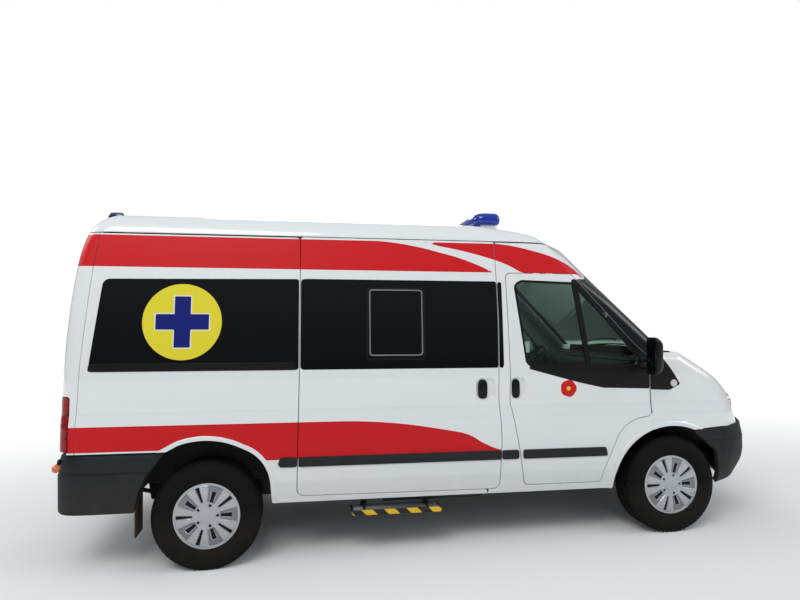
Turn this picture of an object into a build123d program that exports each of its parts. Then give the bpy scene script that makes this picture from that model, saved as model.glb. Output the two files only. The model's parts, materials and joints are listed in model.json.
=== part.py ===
"""Medium-roof window van fitted out as an ambulance, built as separate named pieces.

All the bodywork is drawn level, in millimetres, with X forward from the rear axle,
Y to the left and Z up from the ground. The sprung body sits a little nose down, so
its pieces are turned by the rake on the way out; the wheels and axles stay level.
"""

import os
from math import cos, radians, sin

from build123d import *

os.makedirs("parts", exist_ok=True)

# Driving dimensions
wheelbase = 3300
half_width = 987
roof_top = 2352
shelf_z = 1358
gutter_z = 2172
sill_z = 380
rake_deg = 1.2
pivot_x = wheelbase / 2
pivot_z = 342
axle_to_middle = 1632
wall = 55
skin_depth = 18
gap = 8
side_door_step = 8
rear_door_step = 14
tyre_radius = 350
tyre_width = 215
front_track = 1737
rear_track = 1720
axle_z = tyre_radius

# How far a corner's rounding runs past the flat faces, so that the two cross cleanly
corner_overlap = 0.7

# Where the body's main planes and seams are
rear_x = -905
door_rear_x = 2058
door_front_x = 3137
door_bottom_z = 430
door_top_z = 1935
belt_z = 1262
tow_eye = (-926, 324)
tow_eye_radius = 16

# Centre lines (x, z) of the nose panel and of the bumper, from low to high
nose_line = [(4190, 300), (4190, 720), (4112, 1000), (4060, 1120), (3900, 1420)]
bumper_line = [(4046, 365), (4140, 402), (4214, 540), (4233, 609), (4233, 700), (4212, 800), (4200, 900)]

# Upright corners of the body, level by level: height, half width, tail, nose on the centre
# line; 0 where there is no nose
corner_rows = [
    (280, 945, -905, 4190),
    (520, 982, -905, 4190),
    (720, 984.6, -905, 4190),
    (906, 987, -905, 4138),
    (990, 974, -905, 4115),
    (1120, 970.3, -904.7, 4060),
    (1250, 965.2, -903.1, 3990.7),
    (1400, 955.4, -899.2, 3910.7),
    (1550, 943.5, -892.7, 0),
    (1700, 930, -882.6, 0),
    (1850, 914.3, -868, 0),
    (2000, 896.5, -847, 0),
    (2100, 883.2, -826.5, 0),
    (gutter_z, 873, -809, 0),
    (2215, 859, -797, 0),
    (2258, 843, -778, 0),
    (2310, 745, -710, 0),
]
tail_corner_radius = 85
nose_corner_radius = 120
nose_bow = 1680
bumper_bow = 1393

# Bonnet: its slope, its crest and its outline (along the slope, across)
bonnet_slope = 31.5
bonnet_crest = (3500, 0, 1375)
bonnet_outline = [
    (-120, -790),
    (-120, 790),
    (260, 800),
    (560, 650),
    (800, 600),
    (800, -600),
    (560, -650),
    (260, -800),
]

# How a level piece is set on the raked body and moved to the row's origin
to_origin = Location((-axle_to_middle, 0, 0))
raked = (
    to_origin
    * Location((pivot_x, 0, pivot_z))
    * Location((0, 0, 0), (0, rake_deg, 0))
    * Location((-pivot_x, 0, -pivot_z))
)


def hand_in(builder, name, place=raked):
    """Label a finished piece, put it in its place and write its file."""
    piece = builder.part.moved(place)
    piece.label = name
    export_step(piece, f"parts/{name}.step")


def trace(rows):
    """Draw a closed outline: a start point, then rows of 2 (line) or 4 (arc) numbers."""
    here = rows[0]
    for row in rows[1:]:
        there = row[-2:]
        if len(row) == 4:
            ThreePointArc(here, row[:2], there)
        else:
            Line(here, there)
        here = there
    if here != rows[0]:
        Line(here, rows[0])


def prism(rows, axis, low, high, grow=0):
    """Extrude an outline along X, Y or Z between two places, grown by a margin."""
    plane = {
        "x": Plane.YZ.offset(low),
        "y": Plane.XZ.offset(-high),
        "z": Plane.XY.offset(low),
    }[axis]
    with BuildPart(mode=Mode.PRIVATE) as block:
        with BuildSketch(plane):
            with BuildLine():
                trace(rows)
            make_face()
            if grow:
                offset(amount=grow, kind=Kind.INTERSECTION)
        extrude(amount=high - low)
    return block.part


def box(x, y, z):
    """A plain box between pairs of limits."""
    with BuildPart(mode=Mode.PRIVATE) as block:
        with Locations(((x[0] + x[1]) / 2, (y[0] + y[1]) / 2, (z[0] + z[1]) / 2)):
            Box(x[1] - x[0], y[1] - y[0], z[1] - z[0])
    return block.part


def crowned(x, z, slope_deg, bulge, inset):
    """Everything under a surface that falls forward at a slope and is crowned across."""
    slope = radians(slope_deg)
    across = 1100
    drop = bulge * (across / 850) ** 2
    face = Plane((x, 0, z), x_dir=(0, 1, 0), z_dir=(cos(slope), 0, -sin(slope)))
    with BuildPart(mode=Mode.PRIVATE) as block:
        with BuildSketch(face):
            with BuildLine():
                ThreePointArc((-across, -drop - inset), (0, -inset), (across, -drop - inset))
                Line((across, -drop - inset), (across, -6000))
                Line((across, -6000), (-across, -6000))
                Line((-across, -6000), (-across, -drop - inset))
            make_face()
        extrude(amount=6000, both=True)
    return block.part


def flank(inset, low):
    """The body's cross-section along its whole length: tumblehome, band and roof bow."""
    t = inset
    half = [
        (0, low),
        (958 - t, low),
        (982 - t, 520),
        (half_width - t, 906),
        (974 - t, 990),
        (968 - t, 1200),
        (930 - t, 1700, 873 - t, gutter_z - t / 3),
        (846 - t, 2252 - t, 760 - t, 2298 - t),
        (400, 2338 - t, 0, roof_top - t),
    ]
    with BuildPart(mode=Mode.PRIVATE) as block:
        with BuildSketch(Plane.YZ.offset(-1200)):
            with BuildLine():
                trace(half)
            make_face()
            mirror(about=Plane.YZ)
        extrude(amount=5700)
    return block.part


def side_view(inset, low):
    """The body's outline from the side: leaning tail, roof and open front."""
    t = inset
    rows = [
        (rear_x + t, low),
        (rear_x + t, 1084),
        (-887 + t, 1644, -812 + t, 2160),
        (-770 + t, 2272 - t / 2, -650, 2326 - t),
        (-420, roof_top + 4 - t, 0, roof_top + 4 - t),
        (4400, roof_top + 4 - t),
        (4400, low),
    ]
    return prism(rows, "y", -1200, 1200)


def bow(rows, radius, inset):
    """Everything behind a front that is round in plan; rows give its centre line (x, z)."""
    centre = rows[0][0] - radius
    edge = [(x - centre - inset, z) for x, z in rows]
    with BuildPart(mode=Mode.PRIVATE) as block:
        with BuildSketch(Plane.XZ):
            with BuildLine():
                Polyline((0, edge[0][1]), *edge, (0, edge[-1][1]), close=True)
            make_face()
        revolve(axis=Axis.Z, revolution_arc=360)
    nose = block.part.moved(Location((centre, 0, 0)))
    return nose + box((-1500, centre), (-1200, 1200), (edge[0][1], edge[-1][1]))


def corner_waste(levels, side, radius, bow_centre):
    """What rounding an upright corner takes away, lofted through its levels.

    Each level is (height, half width, end); the end is a flat tail where bow_centre is
    None, or a nose that is round in plan about bow_centre.
    """
    reach = radius + corner_overlap
    with BuildPart(mode=Mode.PRIVATE) as block:
        for z, half, end in levels:
            y = half - radius
            if bow_centre is None:
                x, along, across = end + radius, -1, 0
            else:
                x = bow_centre + ((end - bow_centre - radius) ** 2 - y**2) ** 0.5
                along = (x - bow_centre) / (end - bow_centre - radius)
                across = y / (end - bow_centre - radius)
            spread = (along**2 + (across + 1) ** 2) ** 0.5
            ways = [(0, 1, 1), (along / spread, (across + 1) / spread, 1.3), (along, across, 1)]
            near = [(x + reach * u, side * (y + reach * v)) for u, v, _ in ways]
            far = [(x + (reach + 60) * w * u, side * (y + (reach + 60) * w * v)) for u, v, w in ways]
            with BuildSketch(Plane.XY.offset(z)):
                with BuildLine():
                    ThreePointArc(*near)
                    Polyline(near[2], *reversed(far), near[0])
                make_face()
        loft(ruled=True)
    return block.part


def body_corners(inset):
    """What the rounding of all four upright corners of the body takes away."""
    tail = [(z, half - inset, tail_x + inset) for z, half, tail_x, _ in corner_rows]
    nose = [(z, half - inset, nose_x - inset) for z, half, _, nose_x in corner_rows if nose_x]
    waste = Part()
    for side in (1, -1):
        waste += corner_waste(tail, side, tail_corner_radius - inset, None)
        waste += corner_waste(nose, side, nose_corner_radius - inset, nose_line[0][0] - nose_bow)
    return waste


def body_block(inset, low):
    """The whole body as one block: a cabin behind the windscreen and a nose before it."""
    side = flank(inset, low) & side_view(inset, low)
    cabin = side & crowned(2150, roof_top - 14, 8, 96, inset)
    cabin = cabin & crowned(2500, 2262, 22, 104, inset)
    cabin = cabin & crowned(3050, 1791, 45.5, 108, inset)
    nose = side & box((2400, 4400), (-1200, 1200), (low, shelf_z - inset))
    nose = nose & crowned(bonnet_crest[0], bonnet_crest[2], bonnet_slope, 56, inset)
    nose = nose & bow(nose_line, nose_bow, inset)
    return (cabin + nose) - body_corners(inset)


# The shell that every panel is cut from, and the thin layers that the glass is cut from
outer = body_block(0, sill_z)
inside = body_block(wall, sill_z - 60)
under_skin = body_block(skin_depth, sill_z - 60)
shell = outer - inside
skin_layer = outer - under_skin
frame_layer = under_skin - inside
glass_layer = body_block(4, sill_z) - body_block(10, sill_z - 60)

# Wheel arches, seen from the side
front_arch = [(2832, 300), (2832, 350), (wheelbase, 818, 3768, 350), (3768, 300)]
rear_arch = [
    (420, 300),
    (402, 498),
    (335, 668, 221, 746),
    (29, 803, -180, 778),
    (-281, 724),
    (-420, 620),
    (-420, 300),
]
arches = prism(front_arch, "y", -1200, 1200) + prism(rear_arch, "y", -1200, 1200)


def bonnet_block(grow):
    """The space that the bonnet fills, square to its own slope so that it lifts clear."""
    lean = radians(bonnet_slope)
    plane = Plane(bonnet_crest, x_dir=(cos(lean), 0, -sin(lean)), z_dir=(sin(lean), 0, cos(lean)))
    with BuildPart(mode=Mode.PRIVATE) as block:
        with BuildSketch(plane):
            with BuildLine():
                trace(bonnet_outline)
            make_face()
            if grow:
                offset(amount=grow, kind=Kind.INTERSECTION)
        extrude(amount=400, both=True)
    return block.part


# Outlines of the side doors and windows; the rear, the bottom, the front, the top
front_door = [
    (2160, door_bottom_z),
    (2738, door_bottom_z),
    (2762, 520),
    (2852, 712),
    (2935, 830, 3075, 888),
    (door_front_x, 897),
    (door_front_x, 1330),
    (3010, 1440),
    (2560, door_top_z),
    (2052, door_top_z),
    (2066, 1194),
    (door_rear_x, 1016),
    (2120, 710),
]
slide_door = [
    (576, 422),
    (1976, 412),
    (1993, 752),
    (1976, 1031),
    (1986, 1592),
    (1974, 2150),
    (588, 2150),
    (586, 1189),
]
front_window = [
    (2113, 1850),
    (2185, 1290),
    (2220, belt_z),
    (3060, belt_z),
    (3060, 1318),
    (2960, 1418),
    (2560, 1868),
    (2170, 1880),
]
slide_window = [(650, belt_z), (1925, belt_z), (1925, 1872), (650, 1872)]
quarter_window = [(-741, 1256), (530, 1256), (530, 1868), (-672, 1852)]

# Outlines on the rear face, the bonnet and the roof, seen along X and Z
rear_door_low = 650
rear_door_high = 2128
rear_door_y = 838
rear_pair = [
    (-rear_door_y, rear_door_low),
    (rear_door_y, rear_door_low),
    (rear_door_y, 1500),
    (790, rear_door_high),
    (-790, rear_door_high),
    (-rear_door_y, 1500),
]
rear_window = [(150, 1290), (735, 1290), (715, 1850), (150, 1850)]
screen_plan = [(2640, -770), (3440, -868), (3440, 868), (2640, 770)]
headlamp_face = [(600, 838), (905, 850), (935, 960), (930, 1095), (850, 1140), (690, 1050), (605, 985)]
grille_face = [(-584, 800), (584, 800), (574, 984), (-574, 984)]


def handed(rows, side):
    """Mirror an outline seen along X when the piece is on the other side."""
    return rows if side > 0 else [tuple(-v if k % 2 == 0 else v for k, v in enumerate(r)) for r in rows]


def on_side(rows, side, grow=0):
    """A side outline as a block that reaches from the middle out past the skin."""
    low, high = (600, 1200) if side > 0 else (-1200, -600)
    return prism(rows, "y", low, high, grow)


# Recessed cups behind the door handles: middle (x, z), half width, half height, depth
cup_depth = 13
cup_mouth = 974
front_cup = (2120, 1112, 52, 80)
slide_cup = (1886, 1109, 64, 76)


def side_cup(place, side):
    """An oval cup that narrows inwards from a door's skin."""
    x, z, half_long, half_high = place
    with BuildPart(mode=Mode.PRIVATE) as block:
        for y, share in ((cup_mouth + 20, 1), (cup_mouth, 1), (cup_mouth - cup_depth, 0.8)):
            with BuildSketch(Plane((x, side * y, z), x_dir=(1, 0, 0), z_dir=(0, 1, 0))):
                Ellipse(share * half_long, share * half_high)
        loft(ruled=True)
    return block.part


# Zones that part one panel from the next, each with the seam between them
whole = (-1200, 1200)
tail_hole = prism(rear_pair, "x", -1200, -740, gap)
roof_zone = box((-1200, 2790), whole, (gutter_z, 2600)) + box((-1200, -700), (-800, 800), (2080, gutter_z))
screen_hole = prism(screen_plan, "z", shelf_z + 10, 2148) & box((2640, 3600), whole, (1300, 2148))
cowl_plan = [(3330, -866), (3430, -866), (3430, -780), (3527, 0, 3430, 780), (3430, 866), (3330, 866)]
cowl_block = prism(cowl_plan, "z", 1250, shelf_z + 10) & box((3300, 3600), (-770, 770), (1250, shelf_z + 10))
bumper_top = [(3464, 784), (3830, 812), (4400, 840), (4400, 300), (3464, 300)]
bumper_front_zone = prism(bumper_top, "y", -1200, 1200)
bumper_rear_zone = box((-1200, -340), whole, (300, 738))
door_holes = Part()
for side in (1, -1):
    door_holes += on_side(front_door, side, gap)

# Roof with the header above the rear doors
with BuildPart() as roof:
    add(shell & roof_zone)
    add(tail_hole, mode=Mode.SUBTRACT)
    add(screen_hole, mode=Mode.SUBTRACT)
hand_in(roof, "roof")

# Sides: each from the tail post to the windscreen pillar, with its windows cut through
side_zone = box((-1200, 3145), whole, (sill_z - 5, gutter_z)) + box((3000, 3600), whole, (shelf_z, gutter_z))
side_shell = (shell & side_zone) - roof_zone - tail_hole - screen_hole - arches
side_shell = side_shell - cowl_block - bumper_rear_zone - door_holes - box((-1200, -700), (-845, 845), (300, 700))
for side, label in ((1, "left"), (-1, "right")):
    half = box((-1200, 4400), (0, 1200) if side > 0 else (-1200, 0), (300, 2600))
    lamp_hole = box((-1200, -843), (856, 1200) if side > 0 else (-1200, -856), (754, 1098))
    with BuildPart() as body_side:
        add(side_shell & half)
        add(lamp_hole, mode=Mode.SUBTRACT)
        add(on_side(quarter_window, side), mode=Mode.SUBTRACT)
        if side > 0:
            add(on_side(slide_window, side), mode=Mode.SUBTRACT)
        else:
            add(on_side(slide_door, side, gap), mode=Mode.SUBTRACT)
    hand_in(body_side, f"body_side_{label}")

# Front wings, from the door to the nose, round the headlamps and over the arches
nose_zone = box((3150, 4400), whole, (300, shelf_z))
for side, label in ((1, "left"), (-1, "right")):
    half = box((3000, 4400), (566, 1200) if side > 0 else (-1200, -566), (300, 1500))
    with BuildPart() as wing:
        add(shell & nose_zone & half)
        add(bonnet_block(gap), mode=Mode.SUBTRACT)
        add(cowl_block, mode=Mode.SUBTRACT)
        add(arches, mode=Mode.SUBTRACT)
        add(bumper_front_zone, mode=Mode.SUBTRACT)
        add(prism(handed(headlamp_face, side), "x", 3600, 4400, 3), mode=Mode.SUBTRACT)
        add(prism(grille_face, "x", 3600, 4400, 3), mode=Mode.SUBTRACT)
    hand_in(wing, f"front_wing_{label}")

# Bonnet: the panel between the wings, hinged at its rear edge
bonnet_skin = body_block(0, sill_z) - body_block(28, sill_z - 60)
with BuildPart() as bonnet:
    add(bonnet_skin & bonnet_block(0) & box((3380, 4400), whole, (992, 1500)))
    add(prism(cowl_plan, "z", 1200, 1500, gap), mode=Mode.SUBTRACT)
    add(prism([(3300, -900), (3438, -900), (3438, 900), (3300, 900)], "z", 1200, 1500), mode=Mode.SUBTRACT)
hand_in(bonnet, "bonnet")

# Cowl below the windscreen, where the wipers stand
with BuildPart() as cowl:
    add(shell & cowl_block)
hand_in(cowl, "cowl")

# Windscreen
with BuildPart() as windscreen:
    add(glass_layer & screen_hole)
hand_in(windscreen, "windscreen")

# Front doors, their glass and the sliding door; each inner frame is a step smaller than its
# skin, so that a door that leans inwards clears its neighbours as it swings out
for side, label in ((1, "left"), (-1, "right")):
    with BuildPart() as front_door_panel:
        add(skin_layer & on_side(front_door, side))
        add(frame_layer & on_side(front_door, side, -side_door_step))
        add(on_side(front_window, side), mode=Mode.SUBTRACT)
        add(side_cup(front_cup, side), mode=Mode.SUBTRACT)
    hand_in(front_door_panel, f"front_door_{label}")
    with BuildPart() as door_glass:
        add(glass_layer & on_side(front_window, side))
    hand_in(door_glass, f"door_glass_{label}")
with BuildPart() as sliding_door:
    add(skin_layer & on_side(slide_door, -1))
    add(frame_layer & on_side(slide_door, -1, -side_door_step))
    add(on_side(slide_window, -1), mode=Mode.SUBTRACT)
    add(side_cup(slide_cup, -1), mode=Mode.SUBTRACT)
hand_in(sliding_door, "sliding_door")
with BuildPart() as side_glass:
    for rows, side in ((quarter_window, 1), (quarter_window, -1), (slide_window, 1), (slide_window, -1)):
        add(glass_layer & on_side(rows, side))
hand_in(side_glass, "side_glass")

# Rear doors and their glass; each outline is half of the rear face
for side, label in ((1, "left"), (-1, "right")):
    half = box((-1200, -700), (6, 1200) if side > 0 else (-1200, -6), (300, 2400))
    inner_low = 6 + rear_door_step
    inner_half = box((-1200, -700), (inner_low, 1200) if side > 0 else (-1200, -inner_low), (300, 2400))
    opening = prism(handed(rear_window, side), "x", -1200, -740)
    with BuildPart() as rear_door:
        add(skin_layer & prism(rear_pair, "x", -1200, -740) & half)
        add(frame_layer & prism(rear_pair, "x", -1200, -740, -rear_door_step) & inner_half)
        add(opening, mode=Mode.SUBTRACT)
    hand_in(rear_door, f"rear_door_{label}")
    with BuildPart() as rear_glass:
        add(glass_layer & opening)
    hand_in(rear_glass, f"rear_glass_{label}")

# Tail lamps in the rear posts
with BuildPart() as tail_lamps:
    for side in (1, -1):
        add(shell & box((-1200, -846), (859, 1200) if side > 0 else (-1200, -859), (757, 1095)))
hand_in(tail_lamps, "tail_lamps")

# Headlamps in the nose corners
with BuildPart() as headlamps:
    for side in (1, -1):
        add((shell & prism(handed(headlamp_face, side), "x", 3600, 4400)) - bonnet_block(gap) - bumper_front_zone)
hand_in(headlamps, "headlamps")

# Grille: a frame with level bars
grille_shell = (shell & prism(grille_face, "x", 3800, 4400)) - bumper_front_zone
with BuildPart() as grille:
    add(grille_shell)
    for z in (826, 862, 898, 934, 970):
        add(box((3800, 4400), (-552, 552), (z - 12, z + 6)), mode=Mode.SUBTRACT)
hand_in(grille, "grille")

# Front bumper: round in plan, creased, hollow behind and open at the arches
bumper_halves = [960, 965.7, 984.3, 985.2, 986.3, 987.6, 988.9]
bumper_levels = [(z, half, x) for (x, z), half in zip(bumper_line, bumper_halves)]
bumper_block = (flank(-2, 365) & bow(bumper_line, bumper_bow, 0)) & bumper_front_zone
for side in (1, -1):
    bumper_block -= corner_waste(bumper_levels, side, nose_corner_radius, bumper_line[0][0] - bumper_bow)
bumper_core = flank(40, 300) & bow([(x, z if z > 365 else 200) for x, z in bumper_line], bumper_bow, 42)
bumper_core = bumper_core & box((3300, 4400), whole, (300, 748))
bumper_well = flank(40, 300) & bow(nose_line, nose_bow, 50) & box((3300, 4400), whole, (700, 1000))
fog_radius = 52
intake_bars = bow(bumper_line, bumper_bow, 16) - bow(bumper_line, bumper_bow, 40)
bumper_edge = [(3400, 818), (3464, 790), (3665, 640), (3684, 497), (3692, 300), (3400, 300)]
with BuildPart() as front_bumper:
    add(bumper_block)
    add(bumper_core, mode=Mode.SUBTRACT)
    add(bumper_well, mode=Mode.SUBTRACT)
    add(prism(bumper_edge, "y", -1200, 1200), mode=Mode.SUBTRACT)
    with BuildSketch(Plane.YZ.offset(3900)) as intake:
        with Locations((0, 500)):
            Trapezoid(1040, 116, 78, rotation=180)
        fillet(intake.vertices(), radius=22)
    extrude(amount=500, mode=Mode.SUBTRACT)
    for side in (1, -1):
        with BuildSketch(Plane.YZ.offset(4120)):
            with Locations((side * 640, 505)):
                Circle(fog_radius)
        extrude(amount=200, mode=Mode.SUBTRACT)
    for z in (478, 520):
        add(intake_bars & box((3900, 4400), (-525, 525), (z - 5, z + 5)))
hand_in(front_bumper, "front_bumper")

# Rear bumper: a step across the tail and a corner that runs to each arch
rear_bumper_side = [
    (-429, 358),
    (-357, 616),
    (-340, 734),
    (-928, 734),
    (-968, 616),
    (-956, 600),
    (-922, 358),
]
rear_bumper_plan = [(-300, -989), (-880, -989), (-932, -940), (-968, 0, -932, 940), (-880, 989), (-300, 989)]
with BuildPart() as rear_bumper:
    add(prism(rear_bumper_side, "y", -1200, 1200) & flank(-2, 358) & prism(rear_bumper_plan, "z", 300, 800))
    add(box((-908, -300), (-944, 944), (300, 800)), mode=Mode.SUBTRACT)
    add(box((-1200, -908), (-846, 846), (640, 800)), mode=Mode.SUBTRACT)
    add(arches, mode=Mode.SUBTRACT)
hand_in(rear_bumper, "rear_bumper")

# Rub strips along the sides, split at the seams
strip_rows = [(455, 640), (470, 678), (2770, 678), (2783, 621), (470, 621)]
strip_layer = flank(-16, 380) - flank(0, 380)
for side, label in ((1, "left"), (-1, "right")):
    with BuildPart() as door_strip:
        add(strip_layer & on_side(strip_rows, side) & box((2150, 2800), whole, (600, 700)))
    hand_in(door_strip, f"rub_strip_door_{label}")
with BuildPart() as body_strips:
    for side in (1, -1):
        add(strip_layer & on_side(strip_rows, side) & box((455, 571), whole, (600, 700)))
        add(strip_layer & on_side(strip_rows, side) & box((589, 1984), whole, (600, 700)))
        add(strip_layer & on_side(strip_rows, side) & box((1998, 2112), whole, (600, 700)))
hand_in(body_strips, "rub_strips_body")

# Floor: cab floor, step, load floor and toe board in one pressing
wheel_wells = Part()
for side in (1, -1):
    wheel_wells += prism(rear_arch, "y", *sorted((side * 700, side * 925)))
    wheel_wells += prism(front_arch, "y", *sorted((side * 545, side * 925)))
house_sheet = 14
house_room = Part()
for side in (1, -1):
    house_room += prism(rear_arch, "y", *sorted((side * 685, side * 925)), house_sheet)
    house_room += prism(front_arch, "y", *sorted((side * 530, side * 925)), house_sheet)
toe_board = [(2880, 520), (3060, 760), (3060, 1290), (3085, 1290), (3085, 745), (2914, 520)]
with BuildPart() as floor:
    add(box((-848, 2040), (-905, 905), (590, 625)))
    add(box((2040, 2900), (-905, 905), (520, 550)))
    add(box((2040, 2060), (-905, 905), (520, 625)))
    add(prism(toe_board, "y", -888, 888))
    add(house_room, mode=Mode.SUBTRACT)
hand_in(floor, "floor")

# Chassis: sills, rails, cross members and the towing eye
rail_y = 470
sill_y = 878
eye = [(-952, 296), (-952, 354), (-902, 354), (-880, 404), (-848, 404), (-848, 340), (-892, 296)]
with BuildPart() as chassis:
    for side in (1, -1):
        add(box((432, 2815), (side * sill_y - 20, side * sill_y + 20), (sill_z, 520)))
        add(box((432, 2040), (side * sill_y - 20, side * sill_y + 20), (520, 590)))
        add(box((-852, 3960), (side * rail_y - 40, side * rail_y + 40), (438, 520)))
    add(box((3960, 3998), (-510, 510), (438, 592)))
    for x in (-820, -400, 560, 1060, 1960):
        add(box((x, x + 60), (-880, 880), (500, 590)))
    add(box((-898, -852), (-836, 836), (400, 642)))
    add(prism(eye, "y", -540, -520))
    with BuildSketch(Plane.XZ.offset(520)):
        with Locations(tow_eye):
            Circle(tow_eye_radius)
    extrude(amount=20, mode=Mode.SUBTRACT)
    add(house_room, mode=Mode.SUBTRACT)
hand_in(chassis, "chassis")

# Wheel houses: a rounded tunnel over each wheel, shut on its inner side
with BuildPart() as wheel_houses:
    for side in (1, -1):
        add(house_room & box((-850, 3640), sorted((side * 530, side * 898)), (480, 900)))
    add(wheel_wells, mode=Mode.SUBTRACT)
hand_in(wheel_houses, "wheel_houses")

# Bulkhead behind the seats, with its window
with BuildPart() as bulkhead:
    add(inside & box((1995, 2025), whole, (626, 2600)))
    add(box((1900, 2100), (-330, 330), (1430, 1800)), mode=Mode.SUBTRACT)
hand_in(bulkhead, "bulkhead")

# Dashboard with the steering column
dash_rows = [(3060, 1000), (2930, 1010), (2880, 1180), (2935, 1276), (3330, 1294), (3380, 1240), (3086, 1200)]
column_tilt = 40
wheel_hub = (2790, 470, 1210)
to_driver = (-cos(radians(column_tilt)), 0, sin(radians(column_tilt)))
column_face = Plane(wheel_hub, x_dir=(0, 1, 0), z_dir=to_driver)
with BuildPart() as dashboard:
    add(prism(dash_rows, "y", -860, 860) - box((3059, 3087), whole, (900, 1291)))
    with BuildSketch(column_face.offset(-30)):
        Circle(38)
    extrude(amount=-110)
hand_in(dashboard, "dashboard")

# Steering wheel: ring, boss and three spokes
with BuildPart() as steering_wheel:
    with BuildSketch(column_face.offset(-20)):
        Circle(55)
    extrude(amount=40)
    with BuildSketch(column_face.offset(-6)):
        Rectangle(366, 34)
        with Locations((0, 90)):
            Rectangle(34, 180)
    extrude(amount=12)
    with BuildSketch(Plane(wheel_hub, x_dir=to_driver, z_dir=(0, 1, 0))):
        with Locations((0, 185)):
            Circle(15)
    revolve(axis=Axis(wheel_hub, to_driver), revolution_arc=360)
hand_in(steering_wheel, "steering_wheel")

# Seats: base, cushion, leaning back and head rest, one on each side of the cab
seat_base = [(2240, 551), (2600, 551), (2580, 840), (2250, 840)]
seat_cushion = [(2190, 840), (2690, 840), (2700, 930), (2640, 975), (2230, 940)]
seat_back = [(2100, 1500), (2200, 930), (2330, 940), (2230, 1510)]
seat_head = [(2080, 1540), (2110, 1700), (2190, 1690), (2180, 1530)]
head_stem = [(2110, 1490), (2110, 1560), (2140, 1560), (2150, 1490)]
seat_parts = [(seat_base, 190, 8), (seat_cushion, 240, 24), (seat_back, 240, 30), (seat_head, 130, 18)]


def cushion(rows, low, high, radius):
    """A block with every edge rounded."""
    with BuildPart(mode=Mode.PRIVATE) as block:
        add(prism(rows, "y", low, high))
        fillet(block.edges(), radius=radius)
    return block.part


with BuildPart() as seats:
    for middle in (470, -470):
        for rows, half, radius in seat_parts:
            add(cushion(rows, middle - half, middle + half, radius))
        for stem in (-50, 50):
            add(prism(head_stem, "y", middle + stem - 7, middle + stem + 7))
hand_in(seats, "seats")

# Engine and gearbox as one plain block, and the radiator seen through the grille
with BuildPart() as engine:
    add(box((3340, 3820), (-330, 330), (430, 1010)))
hand_in(engine, "engine")
with BuildPart() as radiator:
    add(box((3925, 3965), (-500, 500), (612, 900)))
    add(box((3925, 3955), (-500, -440), (520, 612)))
    add(box((3925, 3955), (440, 500), (520, 612)))
hand_in(radiator, "radiator")

# Fuel tank and exhaust under the floor
with BuildPart() as fuel_tank:
    add(box((1150, 1900), (-846, -520), (330, 470)))
    fillet(fuel_tank.edges().filter_by(Axis.Y), radius=40)
    for x in (1300, 1750):
        add(box((x - 20, x + 20), (-700, -660), (468, 590)))
hand_in(fuel_tank, "fuel_tank")
exhaust_bends = [
    (3250, 180, 430),
    (2900, 240, 400),
    (900, 240, 400),
    (-600, 330, 380),
    (-840, 330, 380),
]
with BuildPart() as exhaust:
    with BuildLine() as exhaust_run:
        Polyline(*exhaust_bends)
    with BuildSketch(Plane(origin=exhaust_run.line @ 0, z_dir=exhaust_run.line % 0)):
        Circle(28)
    sweep(transition=Transition.ROUND)
    with Locations((1500, 240, 400)):
        Box(520, 230, 150)
    add(box((1480, 1520), (220, 260), (470, 590)))
    add(box((-520, -480), (310, 345), (380, 590)))
hand_in(exhaust, "exhaust")

# Side step under the sliding door
with BuildPart() as side_step:
    add(box((932, 1570), (-988, -800), (286, 312)))
    for x in (1030, 1470):
        add(box((x - 25, x + 25), (-858, -848), (312, 440)))
hand_in(side_step, "side_step")

# Mud flaps behind the rear wheels
with BuildPart() as mud_flaps:
    for side in (1, -1):
        add(box((-446, -438), (side * 845 - 98, side * 845 + 98), (190, 588)))
hand_in(mud_flaps, "mud_flaps")

# Light bar on its feet, a blue lens on the right and a red one on the left
bar_x = (1955, 2125)
bar_end = 600
with BuildPart() as light_bar:
    with BuildSketch(Plane.XY.offset(2372)):
        with Locations((2040, 0)):
            RectangleRounded(170, 2 * bar_end, 40)
    extrude(amount=18)
    for side in (1, -1):
        foot = [(1975, 2372), (2105, 2372), (2122, 2250), (1958, 2250)]
        add(prism(foot, "y", side * 520 - 50, side * 520 + 50) - outer)
    add(box((2010, 2070), (-30, 30), (2390, 2424)))
hand_in(light_bar, "light_bar")
for side, label in ((1, "red"), (-1, "blue")):
    reach = (32, bar_end) if side > 0 else (-bar_end, -32)
    with BuildPart() as bar_lens:
        add(box(bar_x, reach, (2390, 2434)))
        outer_end = bar_lens.faces().sort_by(Axis.Y)[-1 if side > 0 else 0]
        fillet(outer_end.edges().filter_by(Axis.Z), radius=40)
        fillet(bar_lens.edges().group_by(Axis.Z)[-1].filter_by(lambda e: abs(e.center().Y) > 40), radius=22)
    hand_in(bar_lens, f"light_bar_lens_{label}")

# Low lamps on the rear corners of the roof
with BuildPart() as rear_beacons:
    for side in (1, -1):
        add(box((-730, -620), (side * 620 - 45, side * 620 + 45), (2250, 2340)) - outer)
hand_in(rear_beacons, "rear_beacons")

# Wipers lying on the windscreen
wiper_layer = crowned(3050, 1791, 45.5, 108, -24) - crowned(3050, 1791, 45.5, 108, -8)
with BuildPart() as wipers:
    for start, end in ((-700, -60), (-20, 620)):
        blade = [(3420, start), (3396, start), (3370, end), (3394, end)]
        add(wiper_layer & prism(blade, "z", 1300, 1500) & box((3000, 3600), whole, (1360, 1700)))
hand_in(wipers, "wipers")

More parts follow.
